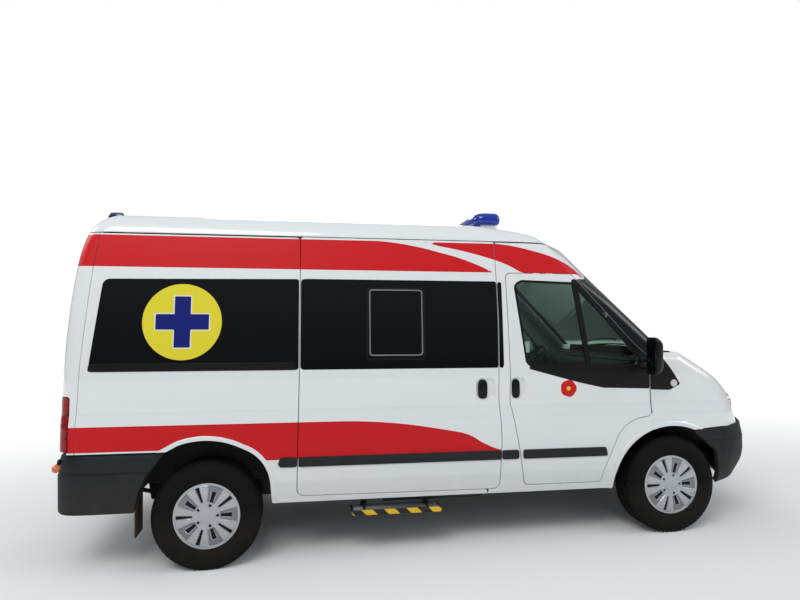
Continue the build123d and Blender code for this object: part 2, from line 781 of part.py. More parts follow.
# Mirrors on short arms from the front doors
for side, label in ((1, "left"), (-1, "right")):
    with BuildPart() as mirror_unit:
        with BuildSketch(Plane((3058, side * 1124, 1338), x_dir=(0, 1, 0), z_dir=(1, 0, 0))):
            RectangleRounded(126, 268, 34)
        extrude(amount=72, taper=9)
        fillet(mirror_unit.faces().sort_by(Axis.X)[-1].edges(), radius=14)
        with BuildSketch(Plane((3058, side * 1124, 1338), x_dir=(0, 1, 0), z_dir=(1, 0, 0))):
            RectangleRounded(108, 248, 26)
        extrude(amount=5, mode=Mode.SUBTRACT)
        reach = (940, 1070) if side > 0 else (-1070, -940)
        add(box((3050, 3100), reach, (1222, 1250)) - outer)
        add(box((3050, 3100), reach, (1286, 1306)) - outer)
    hand_in(mirror_unit, f"mirror_{label}")

# Outline marker lamps on rubber stalks at the rear corners
with BuildPart() as marker_lamps:
    for side in (1, -1):
        with BuildSketch(Plane((-880, side * 1000, 700), x_dir=(1, 0, 0), z_dir=(0, side, -0.6))):
            Circle(14)
        extrude(amount=52)
        with BuildSketch(Plane((-880, side * 1034, 680), x_dir=(1, 0, 0), z_dir=(0, side, -0.6))):
            Circle(24)
        extrude(amount=30)
hand_in(marker_lamps, "marker_lamps")

# Front subframe with the lower arms that carry the knuckles
with BuildPart() as front_subframe:
    for side in (1, -1):
        arm = [(3225, side * 380), (3500, side * 380), (3400, side * 600), (3336, side * 746), (3264, side * 746)]
        add(prism(arm, "z", 196, 222))
        add(box((3180, 3560), (side * 400 - 50, side * 400 + 50), (222, 300)))
        add(box((3200, 3260), (side * 430 - 30, side * 430 + 30), (300, 400)))
        add(box((3480, 3540), (side * 430 - 30, side * 430 + 30), (300, 398)))
    add(box((3200, 3270), (-400, 400), (222, 300)))
    add(box((3470, 3540), (-400, 400), (222, 300)))
hand_in(front_subframe, "front_subframe", to_origin)

# Rear axle: a cranked beam with stub ends, on one leaf spring each side
spring_y = 570
with BuildPart() as rear_axle:
    with Locations((0, 0, axle_z)):
        Cylinder(40, 1360, rotation=(90, 0, 0))
        Cylinder(27, 1740, rotation=(90, 0, 0))
    for side in (1, -1):
        leaf = [(-650, 500), (0, 378, 650, 500), (650, 512), (0, 390, -650, 512)]
        add(prism(leaf, "y", side * spring_y - 32, side * spring_y + 32))
        short = [(-420, 445), (0, 366, 420, 445), (420, 458), (0, 379, -420, 458)]
        add(prism(short, "y", side * spring_y - 32, side * spring_y + 32))
        add(box((-45, 45), (side * spring_y - 36, side * spring_y + 36), (300, 400)))
        add(box((-670, -630), (side * 558 - 44, side * 558 + 44), (490, 560)))
        add(box((630, 670), (side * 558 - 44, side * 558 + 44), (490, 540)))
hand_in(rear_axle, "rear_axle", to_origin)

# Knuckles: upright, spindle, steering arm and strut on the leaning kingpin line
kingpin_lean = 150 / 620
for side, label in ((1, "left"), (-1, "right")):
    kingpin = (0, -side * kingpin_lean, 1)
    with BuildPart() as knuckle:
        upright = [(side * 700, 470), (side * 742, 470), (side * 756, 300), (side * 756, 240), (side * 712, 240)]
        add(prism(upright, "x", wheelbase - 38, wheelbase + 38))
        with BuildSketch(Plane.XZ.offset(-side * 740)):
            with Locations((wheelbase, axle_z)):
                Circle(28)
        extrude(amount=-side * 140)
        strut_foot = (wheelbase, side * (790 - kingpin_lean * 220), 450)
        with BuildSketch(Plane(strut_foot, x_dir=(1, 0, 0), z_dir=kingpin)):
            Circle(27)
        extrude(amount=320)
        add(box((wheelbase - 150, wheelbase - 30), (side * 722 - 14, side * 722 + 14), (300, 326)))
    hand_in(knuckle, f"knuckle_{label}", to_origin)

# Tyres and wheels, drawn about the Y axis with the outer face towards +Y
rim_radius = 203
tyre_section = [
    (rim_radius + 1, 81),
    (220, 82),
    (226, 96),
    (282, 108, 336, 95),
    (348, 90, tyre_radius, 76),
    (tyre_radius, -76),
    (348, -90, 336, -95),
    (282, -108, 226, -96),
    (220, -84),
    (rim_radius + 1, -83),
    (rim_radius + 1, -72),
    (222, -80),
    (324, -80),
    (334, -60),
    (334, 60),
    (324, 80),
    (222, 80),
    (rim_radius + 1, 72),
]
rim_section = [
    (rim_radius, 84),
    (rim_radius, -84),
    (217, -88),
    (217, -96),
    (203, -96),
    (194, -84),
    (194, 20),
    (70, 30),
    (70, -60),
    (35, -60),
    (35, 34),
    (60, 44),
    (194, 34),
    (194, 84),
]
cover_back = 84
cover_section = [(0, cover_back), (0, 101), (52, 101), (66, 97), (130, 100, 196, 95), (214, 90), (217, cover_back)]
wide_pocket = (92, 198, 15)
narrow_slot = (84, 192, 3.4)
fin_gap = (104, 188, 3.6)
lug_circle = 66


def wedge(reach, turn):
    """Outline of a wedge about the hub: reach is (inner, outer, half angle), then its turn."""
    inner, outer_end, spread = reach
    corners = [(r * cos(radians(turn + a)), r * sin(radians(turn + a)))
               for r, a in ((inner, -spread), (outer_end, -spread), (outer_end, 0), (outer_end, spread),
                            (inner, spread), (inner, 0))]
    return [corners[0], corners[1], (*corners[2], *corners[3]), corners[4], (*corners[5], *corners[0])]


def wedge_cuts(places, low, high, radius):
    """Wedges with rounded corners, cut along the hub between two depths."""
    with BuildPart(mode=Mode.PRIVATE) as block:
        for reach, turn in places:
            with BuildSketch(Plane.XZ.offset(-high)) as face:
                with BuildLine():
                    trace(wedge(reach, turn))
                make_face()
                fillet(face.vertices(), radius=radius)
            extrude(amount=high - low)
    return block.part


fifths = [72 * k for k in range(5)]
pocket_floor = wedge_cuts([(wide_pocket, turn) for turn in fifths], 89, 110, 7)
fin_slots = wedge_cuts([(fin_gap, turn + a) for turn in fifths for a in (-9.6, 0, 9.6)], 70, 100, 3)
slots = wedge_cuts([(narrow_slot, turn + 36) for turn in fifths], 70, 110, 4)
wheel_places = []
for x, track, tag in ((wheelbase, front_track, "front"), (0, rear_track, "rear")):
    for side, label in ((1, "left"), (-1, "right")):
        turn = Location((0, 0, 0), (0, 0, 0 if side > 0 else 180))
        spot = to_origin * Location((x, side * track / 2, axle_z)) * turn
        wheel_places.append((f"{tag}_{label}", spot))
for tag, spot in wheel_places:
    with BuildPart() as tyre:
        with BuildSketch(Plane.XY):
            with BuildLine():
                trace(tyre_section)
            make_face()
        revolve(axis=Axis.Y, revolution_arc=360)
    hand_in(tyre, f"tyre_{tag}", spot)
    with BuildPart() as wheel:
        with BuildSketch(Plane.XY):
            with BuildLine():
                trace(rim_section)
            make_face()
        revolve(axis=Axis.Y, revolution_arc=360)
        with BuildSketch(Plane.XY):
            with BuildLine():
                trace(cover_section)
            make_face()
        revolve(axis=Axis.Y, revolution_arc=360)
        add(pocket_floor, mode=Mode.SUBTRACT)
        add(fin_slots, mode=Mode.SUBTRACT)
        add(slots, mode=Mode.SUBTRACT)
        with BuildSketch(Plane.XZ.offset(-110)):
            with PolarLocations(lug_circle, 5):
                Circle(8)
        extrude(amount=18, mode=Mode.SUBTRACT)
    hand_in(wheel, f"wheel_{tag}", spot)
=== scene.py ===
"""Medium-roof window-van ambulance: the looks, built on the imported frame.

All lengths in this file are millimetres in the body's own level frame (X forward from
the rear axle, Y left, Z up from the ground) unless a name ends in _m. A Placing turns
them into metres in the row frame when a mesh is made.
"""

import json
import logging
import math
from dataclasses import dataclass, field
from enum import Enum
from typing import Callable, Iterable, Sequence

import bpy
import numpy as np
from mathutils import Matrix, Vector

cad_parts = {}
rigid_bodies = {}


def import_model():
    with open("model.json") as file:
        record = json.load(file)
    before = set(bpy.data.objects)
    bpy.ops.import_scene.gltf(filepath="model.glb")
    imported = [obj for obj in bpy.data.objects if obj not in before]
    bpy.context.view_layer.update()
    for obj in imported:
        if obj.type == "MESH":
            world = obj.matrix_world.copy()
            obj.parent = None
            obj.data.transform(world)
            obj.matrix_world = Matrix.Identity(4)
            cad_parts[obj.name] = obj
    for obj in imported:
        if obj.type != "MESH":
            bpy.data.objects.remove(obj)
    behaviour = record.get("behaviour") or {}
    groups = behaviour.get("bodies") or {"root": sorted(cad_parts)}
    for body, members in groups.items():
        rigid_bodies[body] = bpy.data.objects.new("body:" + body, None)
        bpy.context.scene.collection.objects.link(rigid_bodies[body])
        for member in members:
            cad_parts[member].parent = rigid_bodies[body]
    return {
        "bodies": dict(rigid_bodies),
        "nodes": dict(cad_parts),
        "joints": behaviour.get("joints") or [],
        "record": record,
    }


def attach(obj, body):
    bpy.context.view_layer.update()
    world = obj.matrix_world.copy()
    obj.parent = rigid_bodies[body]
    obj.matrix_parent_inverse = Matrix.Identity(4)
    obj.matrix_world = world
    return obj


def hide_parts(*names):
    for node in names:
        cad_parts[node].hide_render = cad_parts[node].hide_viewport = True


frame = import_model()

Points = np.ndarray
Loop = Sequence[tuple[float, ...]]
log = logging.getLogger("ambulance")


class Side(Enum):
    """The two sides of the van, with the sign of Y there."""

    LEFT = 1
    RIGHT = -1

    @property
    def tag(self) -> str:
        """The word that piece and node names end in."""
        return self.name.lower()


@dataclass(frozen=True)
class Placing:
    """Turns millimetres in a part's own level frame into metres in the row frame."""

    rake_deg: float = 1.2
    pivot: tuple[float, float] = (1650.0, 342.0)
    axle_to_middle: float = 1632.0

    def points(self, mm: Points) -> Points:
        """Give points in metres in the row frame.

        Args:
            mm: Points in the part's own level frame.

        Returns:
            The points.
        """
        a = math.radians(self.rake_deg)
        dx, dz = mm[:, 0] - self.pivot[0], mm[:, 2] - self.pivot[1]
        x = self.pivot[0] + dx * math.cos(a) + dz * math.sin(a) - self.axle_to_middle
        z = self.pivot[1] - dx * math.sin(a) + dz * math.cos(a)
        return np.column_stack([x, mm[:, 1], z]) / 1000.0

    def directions(self, d: Points) -> Points:
        """Turn direction vectors, such as normals, the same way.

        Args:
            d: The vectors.

        Returns:
            The turned vectors.
        """
        a = math.radians(self.rake_deg)
        x = d[:, 0] * math.cos(a) + d[:, 2] * math.sin(a)
        z = -d[:, 0] * math.sin(a) + d[:, 2] * math.cos(a)
        return np.column_stack([x, d[:, 1], z])


RAKED = Placing()
LEVEL = Placing(rake_deg=0.0)

# Place (x, z) and slope in degrees of the windscreen and of the bonnet
SCREEN_FACE = (3050.0, 1791.0, 45.5)
BONNET_FACE = (3500.0, 1375.0, 31.5)
BONNET_TOP_Z = 1358.0
# Half width over which sloping faces are crowned, and the half width where their bulge is measured
CROWN_HALF = 1100.0
BULGE_AT = 850.0


def ease(v: np.ndarray) -> np.ndarray:
    """A soft step from 0 to 1 as v goes from 0 to 1."""
    v = np.clip(v, 0, 1)
    return v * v * (3 - 2 * v)


def around(count: int) -> Points:
    """Equal turns round a circle, in radians."""
    return np.linspace(0, 2 * math.pi, count, endpoint=False)


def bow_radius(half: float, rise: float) -> float:
    """Radius of the arc that rises by so much over half its chord."""
    return (half**2 + rise**2) / (2 * rise)


def arc_points(a: Sequence[float], m: Sequence[float], b: Sequence[float], step: float) -> list:
    """Points along the arc through three points, without its first.

    Args:
        a: Start.
        m: A point on the way.
        b: End.
        step: Longest distance between neighbouring points.

    Returns:
        The points.
    """
    ax, ay, mx, my, bx, by = *a, *m, *b
    d = 2 * (ax * (my - by) + mx * (by - ay) + bx * (ay - my))
    if abs(d) < 1e-6:
        return [tuple(b)]
    ux = ((ax**2 + ay**2) * (my - by) + (mx**2 + my**2) * (by - ay) + (bx**2 + by**2) * (ay - my)) / d
    uy = ((ax**2 + ay**2) * (bx - mx) + (mx**2 + my**2) * (ax - bx) + (bx**2 + by**2) * (mx - ax)) / d
    r = math.hypot(ax - ux, ay - uy)
    t0, tm, t1 = (math.atan2(p[1] - uy, p[0] - ux) for p in (a, m, b))
    turn = (t1 - t0) % (2 * math.pi)
    if (tm - t0) % (2 * math.pi) > turn:
        turn -= 2 * math.pi
    n = max(2, math.ceil(abs(turn) * r / step))
    return [(ux + r * math.cos(t0 + turn * k / n), uy + r * math.sin(t0 + turn * k / n)) for k in range(1, n + 1)]


def area_of(loop: Points) -> float:
    """Signed area of a closed loop, positive when it runs anticlockwise."""
    x, y = loop[:, 0], loop[:, 1]
    return 0.5 * float(np.sum(x * np.roll(y, -1) - np.roll(x, -1) * y))


def outline(rows: Loop, radius: float | Sequence[float] = 0.0, step: float = 12.0) -> Points:
    """Draw a closed outline as an anticlockwise loop.

    Args:
        rows: A start point, then rows of 2 numbers (line to) or 4 (arc through, to).
        radius: How far each corner between two lines is rounded, one or one per row.
        step: Longest distance between neighbouring points on an arc.

    Returns:
        The loop, without a repeated last point.
    """
    radii = [radius] * len(rows) if isinstance(radius, (int, float)) else list(radius)
    if len(rows[-1]) == 2 and math.dist(rows[-1], rows[0]) < 1e-6:
        rows = rows[:-1]
    corners = [tuple(r[-2:]) for r in rows]
    count = len(corners)
    straight = [len(rows[(k + 1) % count]) == 2 for k in range(count)]
    pts: list = []
    trims: list = []
    for k in range(count):
        p, c, q = corners[k - 1], corners[k], corners[(k + 1) % count]
        trims.append((c, c, None))
        if radii[k] > 0 and straight[k - 1] and straight[k]:
            u = np.subtract(p, c) / max(math.dist(p, c), 1e-9)
            v = np.subtract(q, c) / max(math.dist(q, c), 1e-9)
            half = math.acos(max(-1.0, min(1.0, float(np.dot(u, v))))) / 2
            if 0.05 < half < math.pi / 2 - 0.02:
                cut = min(radii[k] / math.tan(half), 0.49 * math.dist(p, c), 0.49 * math.dist(q, c))
                r = cut * math.tan(half)
                middle = np.add(c, (u + v) / np.linalg.norm(u + v) * (r / math.sin(half) - r))
                trims[k] = (tuple(np.add(c, u * cut)), tuple(np.add(c, v * cut)), tuple(middle))
    for k in range(count):
        start, end, middle = trims[k]
        pts.append(start)
        if middle is not None:
            pts += arc_points(start, middle, end, min(step, 5.0))
        row = rows[(k + 1) % count]
        pts += [end] if len(row) == 2 else arc_points(end, row[:2], row[2:], step)[:-1]
    loop = np.array(pts, float)
    keep = np.linalg.norm(loop - np.roll(loop, 1, axis=0), axis=1) > 0.05
    loop = loop[keep]
    return loop if area_of(loop) > 0 else loop[::-1]


def inside(loop: Points, p: Points) -> np.ndarray:
    """Say which points lie inside a closed loop.

    Args:
        loop: The loop.
        p: Points in its plane.

    Returns:
        True for each point inside.
    """
    hit = np.zeros(len(p), bool)
    x, y = p[:, 0], p[:, 1]
    for (x0, y0), (x1, y1) in zip(loop, np.roll(loop, -1, axis=0)):
        if y0 == y1:
            continue
        crosses = ((y0 > y) != (y1 > y)) & (x < (x1 - x0) * (y - y0) / (y1 - y0) + x0)
        hit ^= crosses
    return hit


def distance_to(loop: Points, p: Points) -> np.ndarray:
    """Distance from each point to the nearest part of a closed loop.

    Args:
        loop: The loop.
        p: Points in its plane.

    Returns:
        A distance for each point.
    """
    best = np.full(len(p), 1e9)
    for s, e in zip(loop, np.roll(loop, -1, axis=0)):
        d = e - s
        t = np.clip(((p - s) @ d) / max(float(d @ d), 1e-9), 0, 1)
        best = np.minimum(best, np.hypot(*(p - s - t[:, None] * d).T))
    return best


def smooth_table(rows: Sequence[tuple[float, float]], low: float, high: float, soft: float) -> Callable:
    """A smooth function through (place, value) rows whose creases are softened.

    Args:
        rows: Places in order, with their values.
        low: Lowest place that is asked for.
        high: Highest place that is asked for.
        soft: How far the softening reaches.

    Returns:
        The function, which takes an array of places.
    """
    grid = np.arange(low, high + 1.0)
    places, values = np.array(rows, float).T
    raw = np.interp(grid, places, values)
    first = (values[1] - values[0]) / (places[1] - places[0])
    last = (values[-1] - values[-2]) / (places[-1] - places[-2])
    raw = np.where(grid < places[0], values[0] + (grid - places[0]) * first, raw)
    raw = np.where(grid > places[-1], values[-1] + (grid - places[-1]) * last, raw)
    reach = int(4 * soft)
    kernel = np.exp(-0.5 * (np.arange(-reach, reach + 1) / soft) ** 2)
    kernel /= kernel.sum()
    padded = np.concatenate([raw[0] + (np.arange(-reach, 0)) * (raw[1] - raw[0]), raw,
                             raw[-1] + np.arange(1, reach + 1) * (raw[-1] - raw[-2])])
    soft_values = np.convolve(padded, kernel, "valid")
    return lambda z: np.interp(z, grid, soft_values)


def meet(a: np.ndarray, b: np.ndarray, radius: float | np.ndarray) -> np.ndarray:
    """The common part of two bodies given as distances, with the edge between rounded."""
    return np.minimum(np.maximum(a, b), -radius) + np.hypot(np.maximum(a + radius, 0), np.maximum(b + radius, 0))


def blend(a: np.ndarray, b: np.ndarray, depth: float) -> np.ndarray:
    """The common part of two bodies whose faces meet at a shallow angle, softened there."""
    return np.maximum(a, b) + np.maximum(depth - np.abs(a - b), 0) ** 2 / (4 * depth)


def crowned(p: Points, x: float, z: float, slope_deg: float, bulge: float) -> np.ndarray:
    """Distance above a surface that falls forward at a slope and is crowned across.

    Args:
        p: Points.
        x: A place on the surface, along the van.
        z: The surface's height there.
        slope_deg: How steeply it falls.
        bulge: How much lower it is at BULGE_AT from the middle.

    Returns:
        The distances.
    """
    s = math.radians(slope_deg)
    bow = bow_radius(CROWN_HALF, bulge * (CROWN_HALF / BULGE_AT) ** 2)
    crown = bow - np.sqrt(np.maximum(bow**2 - p[:, 1] ** 2, 1.0))
    return (p[:, 0] - x) * math.sin(s) + (p[:, 2] - z) * math.cos(s) + crown


@dataclass
class BodySkin:
    """The whole painted outside of the body as one smooth closed surface."""

    side_rows: tuple = ((380, 958), (520, 982), (906, 989.5), (990, 971.5), (1200, 967.5), (1325, 960.5),
                        (1450, 951.6), (1575, 941.3), (1700, 930), (1820, 917.6), (1940, 904), (2060, 888.7),
                        (2172, 873))
    tail_rows: tuple = ((380, -905), (1084, -905), (1280, -902.5), (1460, -897), (1644, -887), (1830, -870),
                        (2000, -847), (2160, -812))
    nose_rows: tuple = ((300, 4190), (720, 4190), (1000, 4112), (1120, 4060), (1420, 3900))
    roof_top: float = 2352.0
    tail_radius: float = 85.0
    gutter_radius: float = 105.0
    header_radius: float = 170.0
    pillar_radius: float = 58.0
    nose_radius: float = 130.0
    wing_radius: float = 75.0
    droop_rows: tuple = ((-1500, 0), (2180, 0), (2320, 8), (2434, 46), (2536, 70), (2650, 62), (2854, 34),
                         (3104, 17), (3300, 8), (3420, 0), (4500, 0))
    roof_crown: tuple = (760.0, 54.0)
    # Sloping faces behind and over the windscreen: x, z, slope, bulge, and how softly each joins
    top_faces: tuple = ((2150, 2338, 8, 96, 16), (2500, 2262, 22, 104, 24), (*SCREEN_FACE, 108, 20))
    nose_centre_x: float = 2510.0
    half_at: Callable = field(init=False)
    tail_at: Callable = field(init=False)
    nose_at: Callable = field(init=False)
    droop_at: Callable = field(init=False)

    def __post_init__(self) -> None:
        """Make the smooth tables."""
        self.half_at = smooth_table(self.side_rows, 300, 2500, 7)
        self.tail_at = smooth_table(self.tail_rows, 300, 2500, 12)
        self.nose_at = smooth_table(self.nose_rows, 200, 1500, 14)
        self.droop_at = smooth_table(self.droop_rows, -1500, 4500, 26)

    def side(self, p: Points) -> np.ndarray:
        """Distance outside the two flanks."""
        return np.abs(p[:, 1]) - self.half_at(p[:, 2])

    def field(self, p: Points) -> np.ndarray:
        """Distance outside the skin, negative inside it.

        Args:
            p: Points.

        Returns:
            A distance for each.
        """
        y, z = np.abs(p[:, 1]), p[:, 2]
        side = self.side(p)
        bow = bow_radius(*self.roof_crown)
        top = z - (self.roof_top - bow + np.sqrt(np.maximum(bow**2 - y**2, 1.0)))
        for at_x, at_z, slope, bulge, soft in self.top_faces:
            top = blend(top, crowned(p, at_x, at_z, slope, bulge), soft)
        top = top + self.droop_at(p[:, 0]) * np.clip((y - 420) / 400, 0, 1.1) ** 2
        top = meet(top, self.tail_at(z) - p[:, 0], self.header_radius)
        tail = np.clip((-500 - p[:, 0]) / 200, 0, 1) * np.clip((2150 - z) / 100, 0, 1)
        radius = self.gutter_radius + (self.pillar_radius - self.gutter_radius) * ease((p[:, 0] - 1900) / 800)
        radius = radius + (self.tail_radius - radius) * tail
        cabin = meet(side, top, radius)
        nose = np.hypot(p[:, 0] - self.nose_centre_x, y) - (self.nose_at(z) - self.nose_centre_x)
        front = meet(crowned(p, *BONNET_FACE, 56), nose, 60.0)
        front = meet(front, z - BONNET_TOP_Z, 8.0)
        high = np.clip((z - 700) / 400, 0, 1)
        front = meet(side, front, self.nose_radius + (self.wing_radius - self.nose_radius) * high)
        return np.minimum(cabin, front)


@dataclass
class FrontBumperSkin:
    """The outside of the front bumper."""

    half_at: Callable
    rows: tuple = ((300, 4010), (365, 4046), (402, 4140), (540, 4214), (609, 4233), (700, 4233), (800, 4212),
                   (900, 4200))
    centre_x: float = 2653.0
    line_at: Callable = field(init=False)

    def __post_init__(self) -> None:
        """Make the smooth table."""
        self.line_at = smooth_table(self.rows, 200, 1000, 9)

    def field(self, p: Points) -> np.ndarray:
        """Distance outside the bumper, negative inside it."""
        nose = np.hypot(p[:, 0] - self.centre_x, p[:, 1]) - (self.line_at(p[:, 2]) - self.centre_x)
        return meet(np.abs(p[:, 1]) - self.half_at(p[:, 2]) - 2, nose, 120.0)

    def front_at(self, y: float | Points, z: float) -> float | Points:
        """How far forward the bumper reaches at a place across and a height."""
        reach = float(self.line_at(np.array([z]))[0]) - self.centre_x
        return self.centre_x + np.sqrt(reach**2 - y**2)


@dataclass
class Mesh:
    """A mesh in the making: points in millimetres, faces, and a finish number for each."""

    points: list = field(default_factory=list)
    normals: list = field(default_factory=list)
    faces: list = field(default_factory=list)
    finish: list = field(default_factory=list)

    @property
    def count(self) -> int:
        """How many points there are so far."""
        return sum(len(p) for p in self.points)

    def add(self, points: Points, faces: Iterable, finish: int | Iterable = 0, normals: Points | None = None) -> None:
        """Add points and the faces on them.

        Args:
            points: New points.
            faces: Faces as indices into the new points.
            finish: Finish number, one or one per face.
            normals: A normal for each point, or None to have them worked out.
        """
        base = self.count
        faces = [tuple(int(i) + base for i in f) for f in faces]
        self.points.append(np.asarray(points, float).reshape(-1, 3))
        self.normals.append(np.zeros((len(points), 3)) if normals is None else np.asarray(normals, float))
        self.faces += faces
        self.finish += [finish] * len(faces) if isinstance(finish, int) else [int(k) for k in finish]

    def mirrored(self) -> "Mesh":
        """A copy on the other side of the van."""
        flip = np.array([1.0, -1.0, 1.0])
        return Mesh([p * flip for p in self.points], [n * flip for n in self.normals],
                    [tuple(reversed(f)) for f in self.faces], list(self.finish))

    def moved(self, by: Points) -> "Mesh":
        """A copy in another place."""
        return Mesh([p + by for p in self.points], [n.copy() for n in self.normals], list(self.faces),
                    list(self.finish))

    def painted(self, finish: int) -> "Mesh":
        """Give every face one finish."""
        self.finish = [finish] * len(self.finish)
        return self

    def join(self, other: "Mesh") -> "Mesh":
        """Add another mesh to this one.

        Args:
            other: The mesh to add.

        Returns:
            This mesh.
        """
        base = self.count
        self.points += other.points
        self.normals += other.normals
        self.faces += [tuple(i + base for i in f) for f in other.faces]
        self.finish += other.finish
        return self


def new_object(name: str, data: bpy.types.ID) -> bpy.types.Object:
    """Put an object in the scene."""
    obj = bpy.data.objects.new(name, data)
    bpy.context.scene.collection.objects.link(obj)
    return obj


@dataclass
class Piece:
    """A finished piece: its mesh, the body it rides on and the nodes it stands for."""

    name: str
    body: str
    finishes: tuple
    replaces: tuple = ()
    slot: str = ""
    placing: Placing = RAKED
    sharp_deg: float = 35.0

    def make(self, mesh: Mesh) -> bpy.types.Object:
        """Turn the mesh into an object that rides on its body.

        Args:
            mesh: What the piece is made of.

        Returns:
            The object, at the origin, with its place in its mesh.
        """
        points = np.concatenate(mesh.points)
        normals = np.concatenate(mesh.normals)
        data = bpy.data.meshes.new(self.name)
        data.from_pydata(self.placing.points(points).tolist(), [], mesh.faces)
        data.polygons.foreach_set("material_index", np.array(mesh.finish, np.int32))
        data.polygons.foreach_set("use_smooth", np.ones(len(mesh.faces), bool))
        data.validate()
        data.update()
        obj = new_object(self.name, data)
        given = np.linalg.norm(normals, axis=1) > 0.5
        if not given.all():
            data.set_sharp_from_angle(angle=math.radians(self.sharp_deg))
        if given.any() and len(data.vertices) == len(points):
            corner_vertex = np.zeros(len(data.loops), np.int64)
            data.loops.foreach_get("vertex_index", corner_vertex)
            corner = np.zeros(len(data.loops) * 3, np.float32)
            data.corner_normals.foreach_get("vector", corner)
            corner = corner.reshape(-1, 3)
            turned = self.placing.directions(normals)
            use = given[corner_vertex]
            corner[use] = turned[corner_vertex[use]]
            data.normals_split_custom_set([tuple(float(c) for c in v) for v in corner])
        for finish in self.finishes:
            data.materials.append(finish)
        return self.place(obj)

    def place(self, obj: bpy.types.Object) -> bpy.types.Object:
        """Make an object ride on this piece's body and stand for its nodes.

        Args:
            obj: The object.

        Returns:
            The same object.
        """
        if self.replaces:
            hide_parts(*self.replaces)
        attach(obj, self.body)
        log.info("%s: %d faces", self.name, len(obj.data.polygons) if obj.type == "MESH" else 0)
        return obj


def measure(field: Callable, p: Points) -> tuple[np.ndarray, Points]:
    """Value and slope of a distance field at points.

    Args:
        field: The field.
        p: Points.

    Returns:
        The values, and the slopes as vectors.
    """
    h = 0.5
    g = np.column_stack([field(p + d) - field(p - d) for d in np.eye(3) * h]) / (2 * h)
    return field(p), g


def unit(v: Points) -> Points:
    """Vectors scaled to length one."""
    return v / np.maximum(np.linalg.norm(v, axis=1), 1e-9)[:, None]


def settle(skin: object, p: Points, turns: int = 3) -> Points:
    """Move points straight onto a skin.

    Args:
        skin: The skin.
        p: Points near it.
        turns: How often to step.

    Returns:
        The points on the skin.
    """
    for _ in range(turns):
        value, g = measure(skin.field, p)
        p = p - g * (value / np.maximum((g**2).sum(1), 1e-9))[:, None]
    return p


@dataclass
class Zone:
    """What lies inside an outline that runs right through the van, square to two axes."""

    loop: Points
    axes: tuple[int, int] = (0, 2)
    turn: Points | None = None

    def value(self, p: Points) -> np.ndarray:
        """Signed distance from the outline, negative inside.

        Args:
            p: Points in space.

        Returns:
            A distance for each, 90 mm at most.
        """
        if self.turn is not None:
            p = (p - self.turn[0]) @ self.turn[1:].T
        q = p[:, list(self.axes)]
        low, high = self.loop.min(0) - 90, self.loop.max(0) + 90
        near = ((q > low) & (q < high)).all(1)
        out = np.full(len(p), 90.0)
        if near.any():
            w = q[near]
            far = distance_to(self.loop, w)
            out[near] = np.where(inside(self.loop, w), -far, far)
        return out


@dataclass
class Cut:
    """Everything on one side of a level, along one axis or out from the middle."""

    axis: int
    limit: float
    below: bool = True
    both: bool = False

    def value(self, p: Points) -> np.ndarray:
        """Signed distance from the level, negative where kept."""
        v = (np.abs(p[:, self.axis]) if self.both else p[:, self.axis]) - self.limit
        return v if self.below else -v


@dataclass
class Region:
    """The common part of some zones, less others and a gap round those."""

    within: Sequence = ()
    without: Sequence = ()
    gap: float = 0.0
    grow: float = 0.0

    def value(self, p: Points) -> np.ndarray:
        """Signed distance, negative inside the region.

        Args:
            p: Points.

        Returns:
            A distance for each.
        """
        out = np.full(len(p), -1e3)
        for zone in self.within:
            out = np.maximum(out, zone.value(p) - self.grow)
        for zone in self.without:
            out = np.maximum(out, self.gap - zone.value(p))
        return out


@dataclass
class AnyOf:
    """Everything inside at least one of some zones."""

    zones: Sequence

    def value(self, p: Points) -> np.ndarray:
        """Signed distance, negative inside any of them."""
        return np.min([zone.value(p) for zone in self.zones], axis=0)


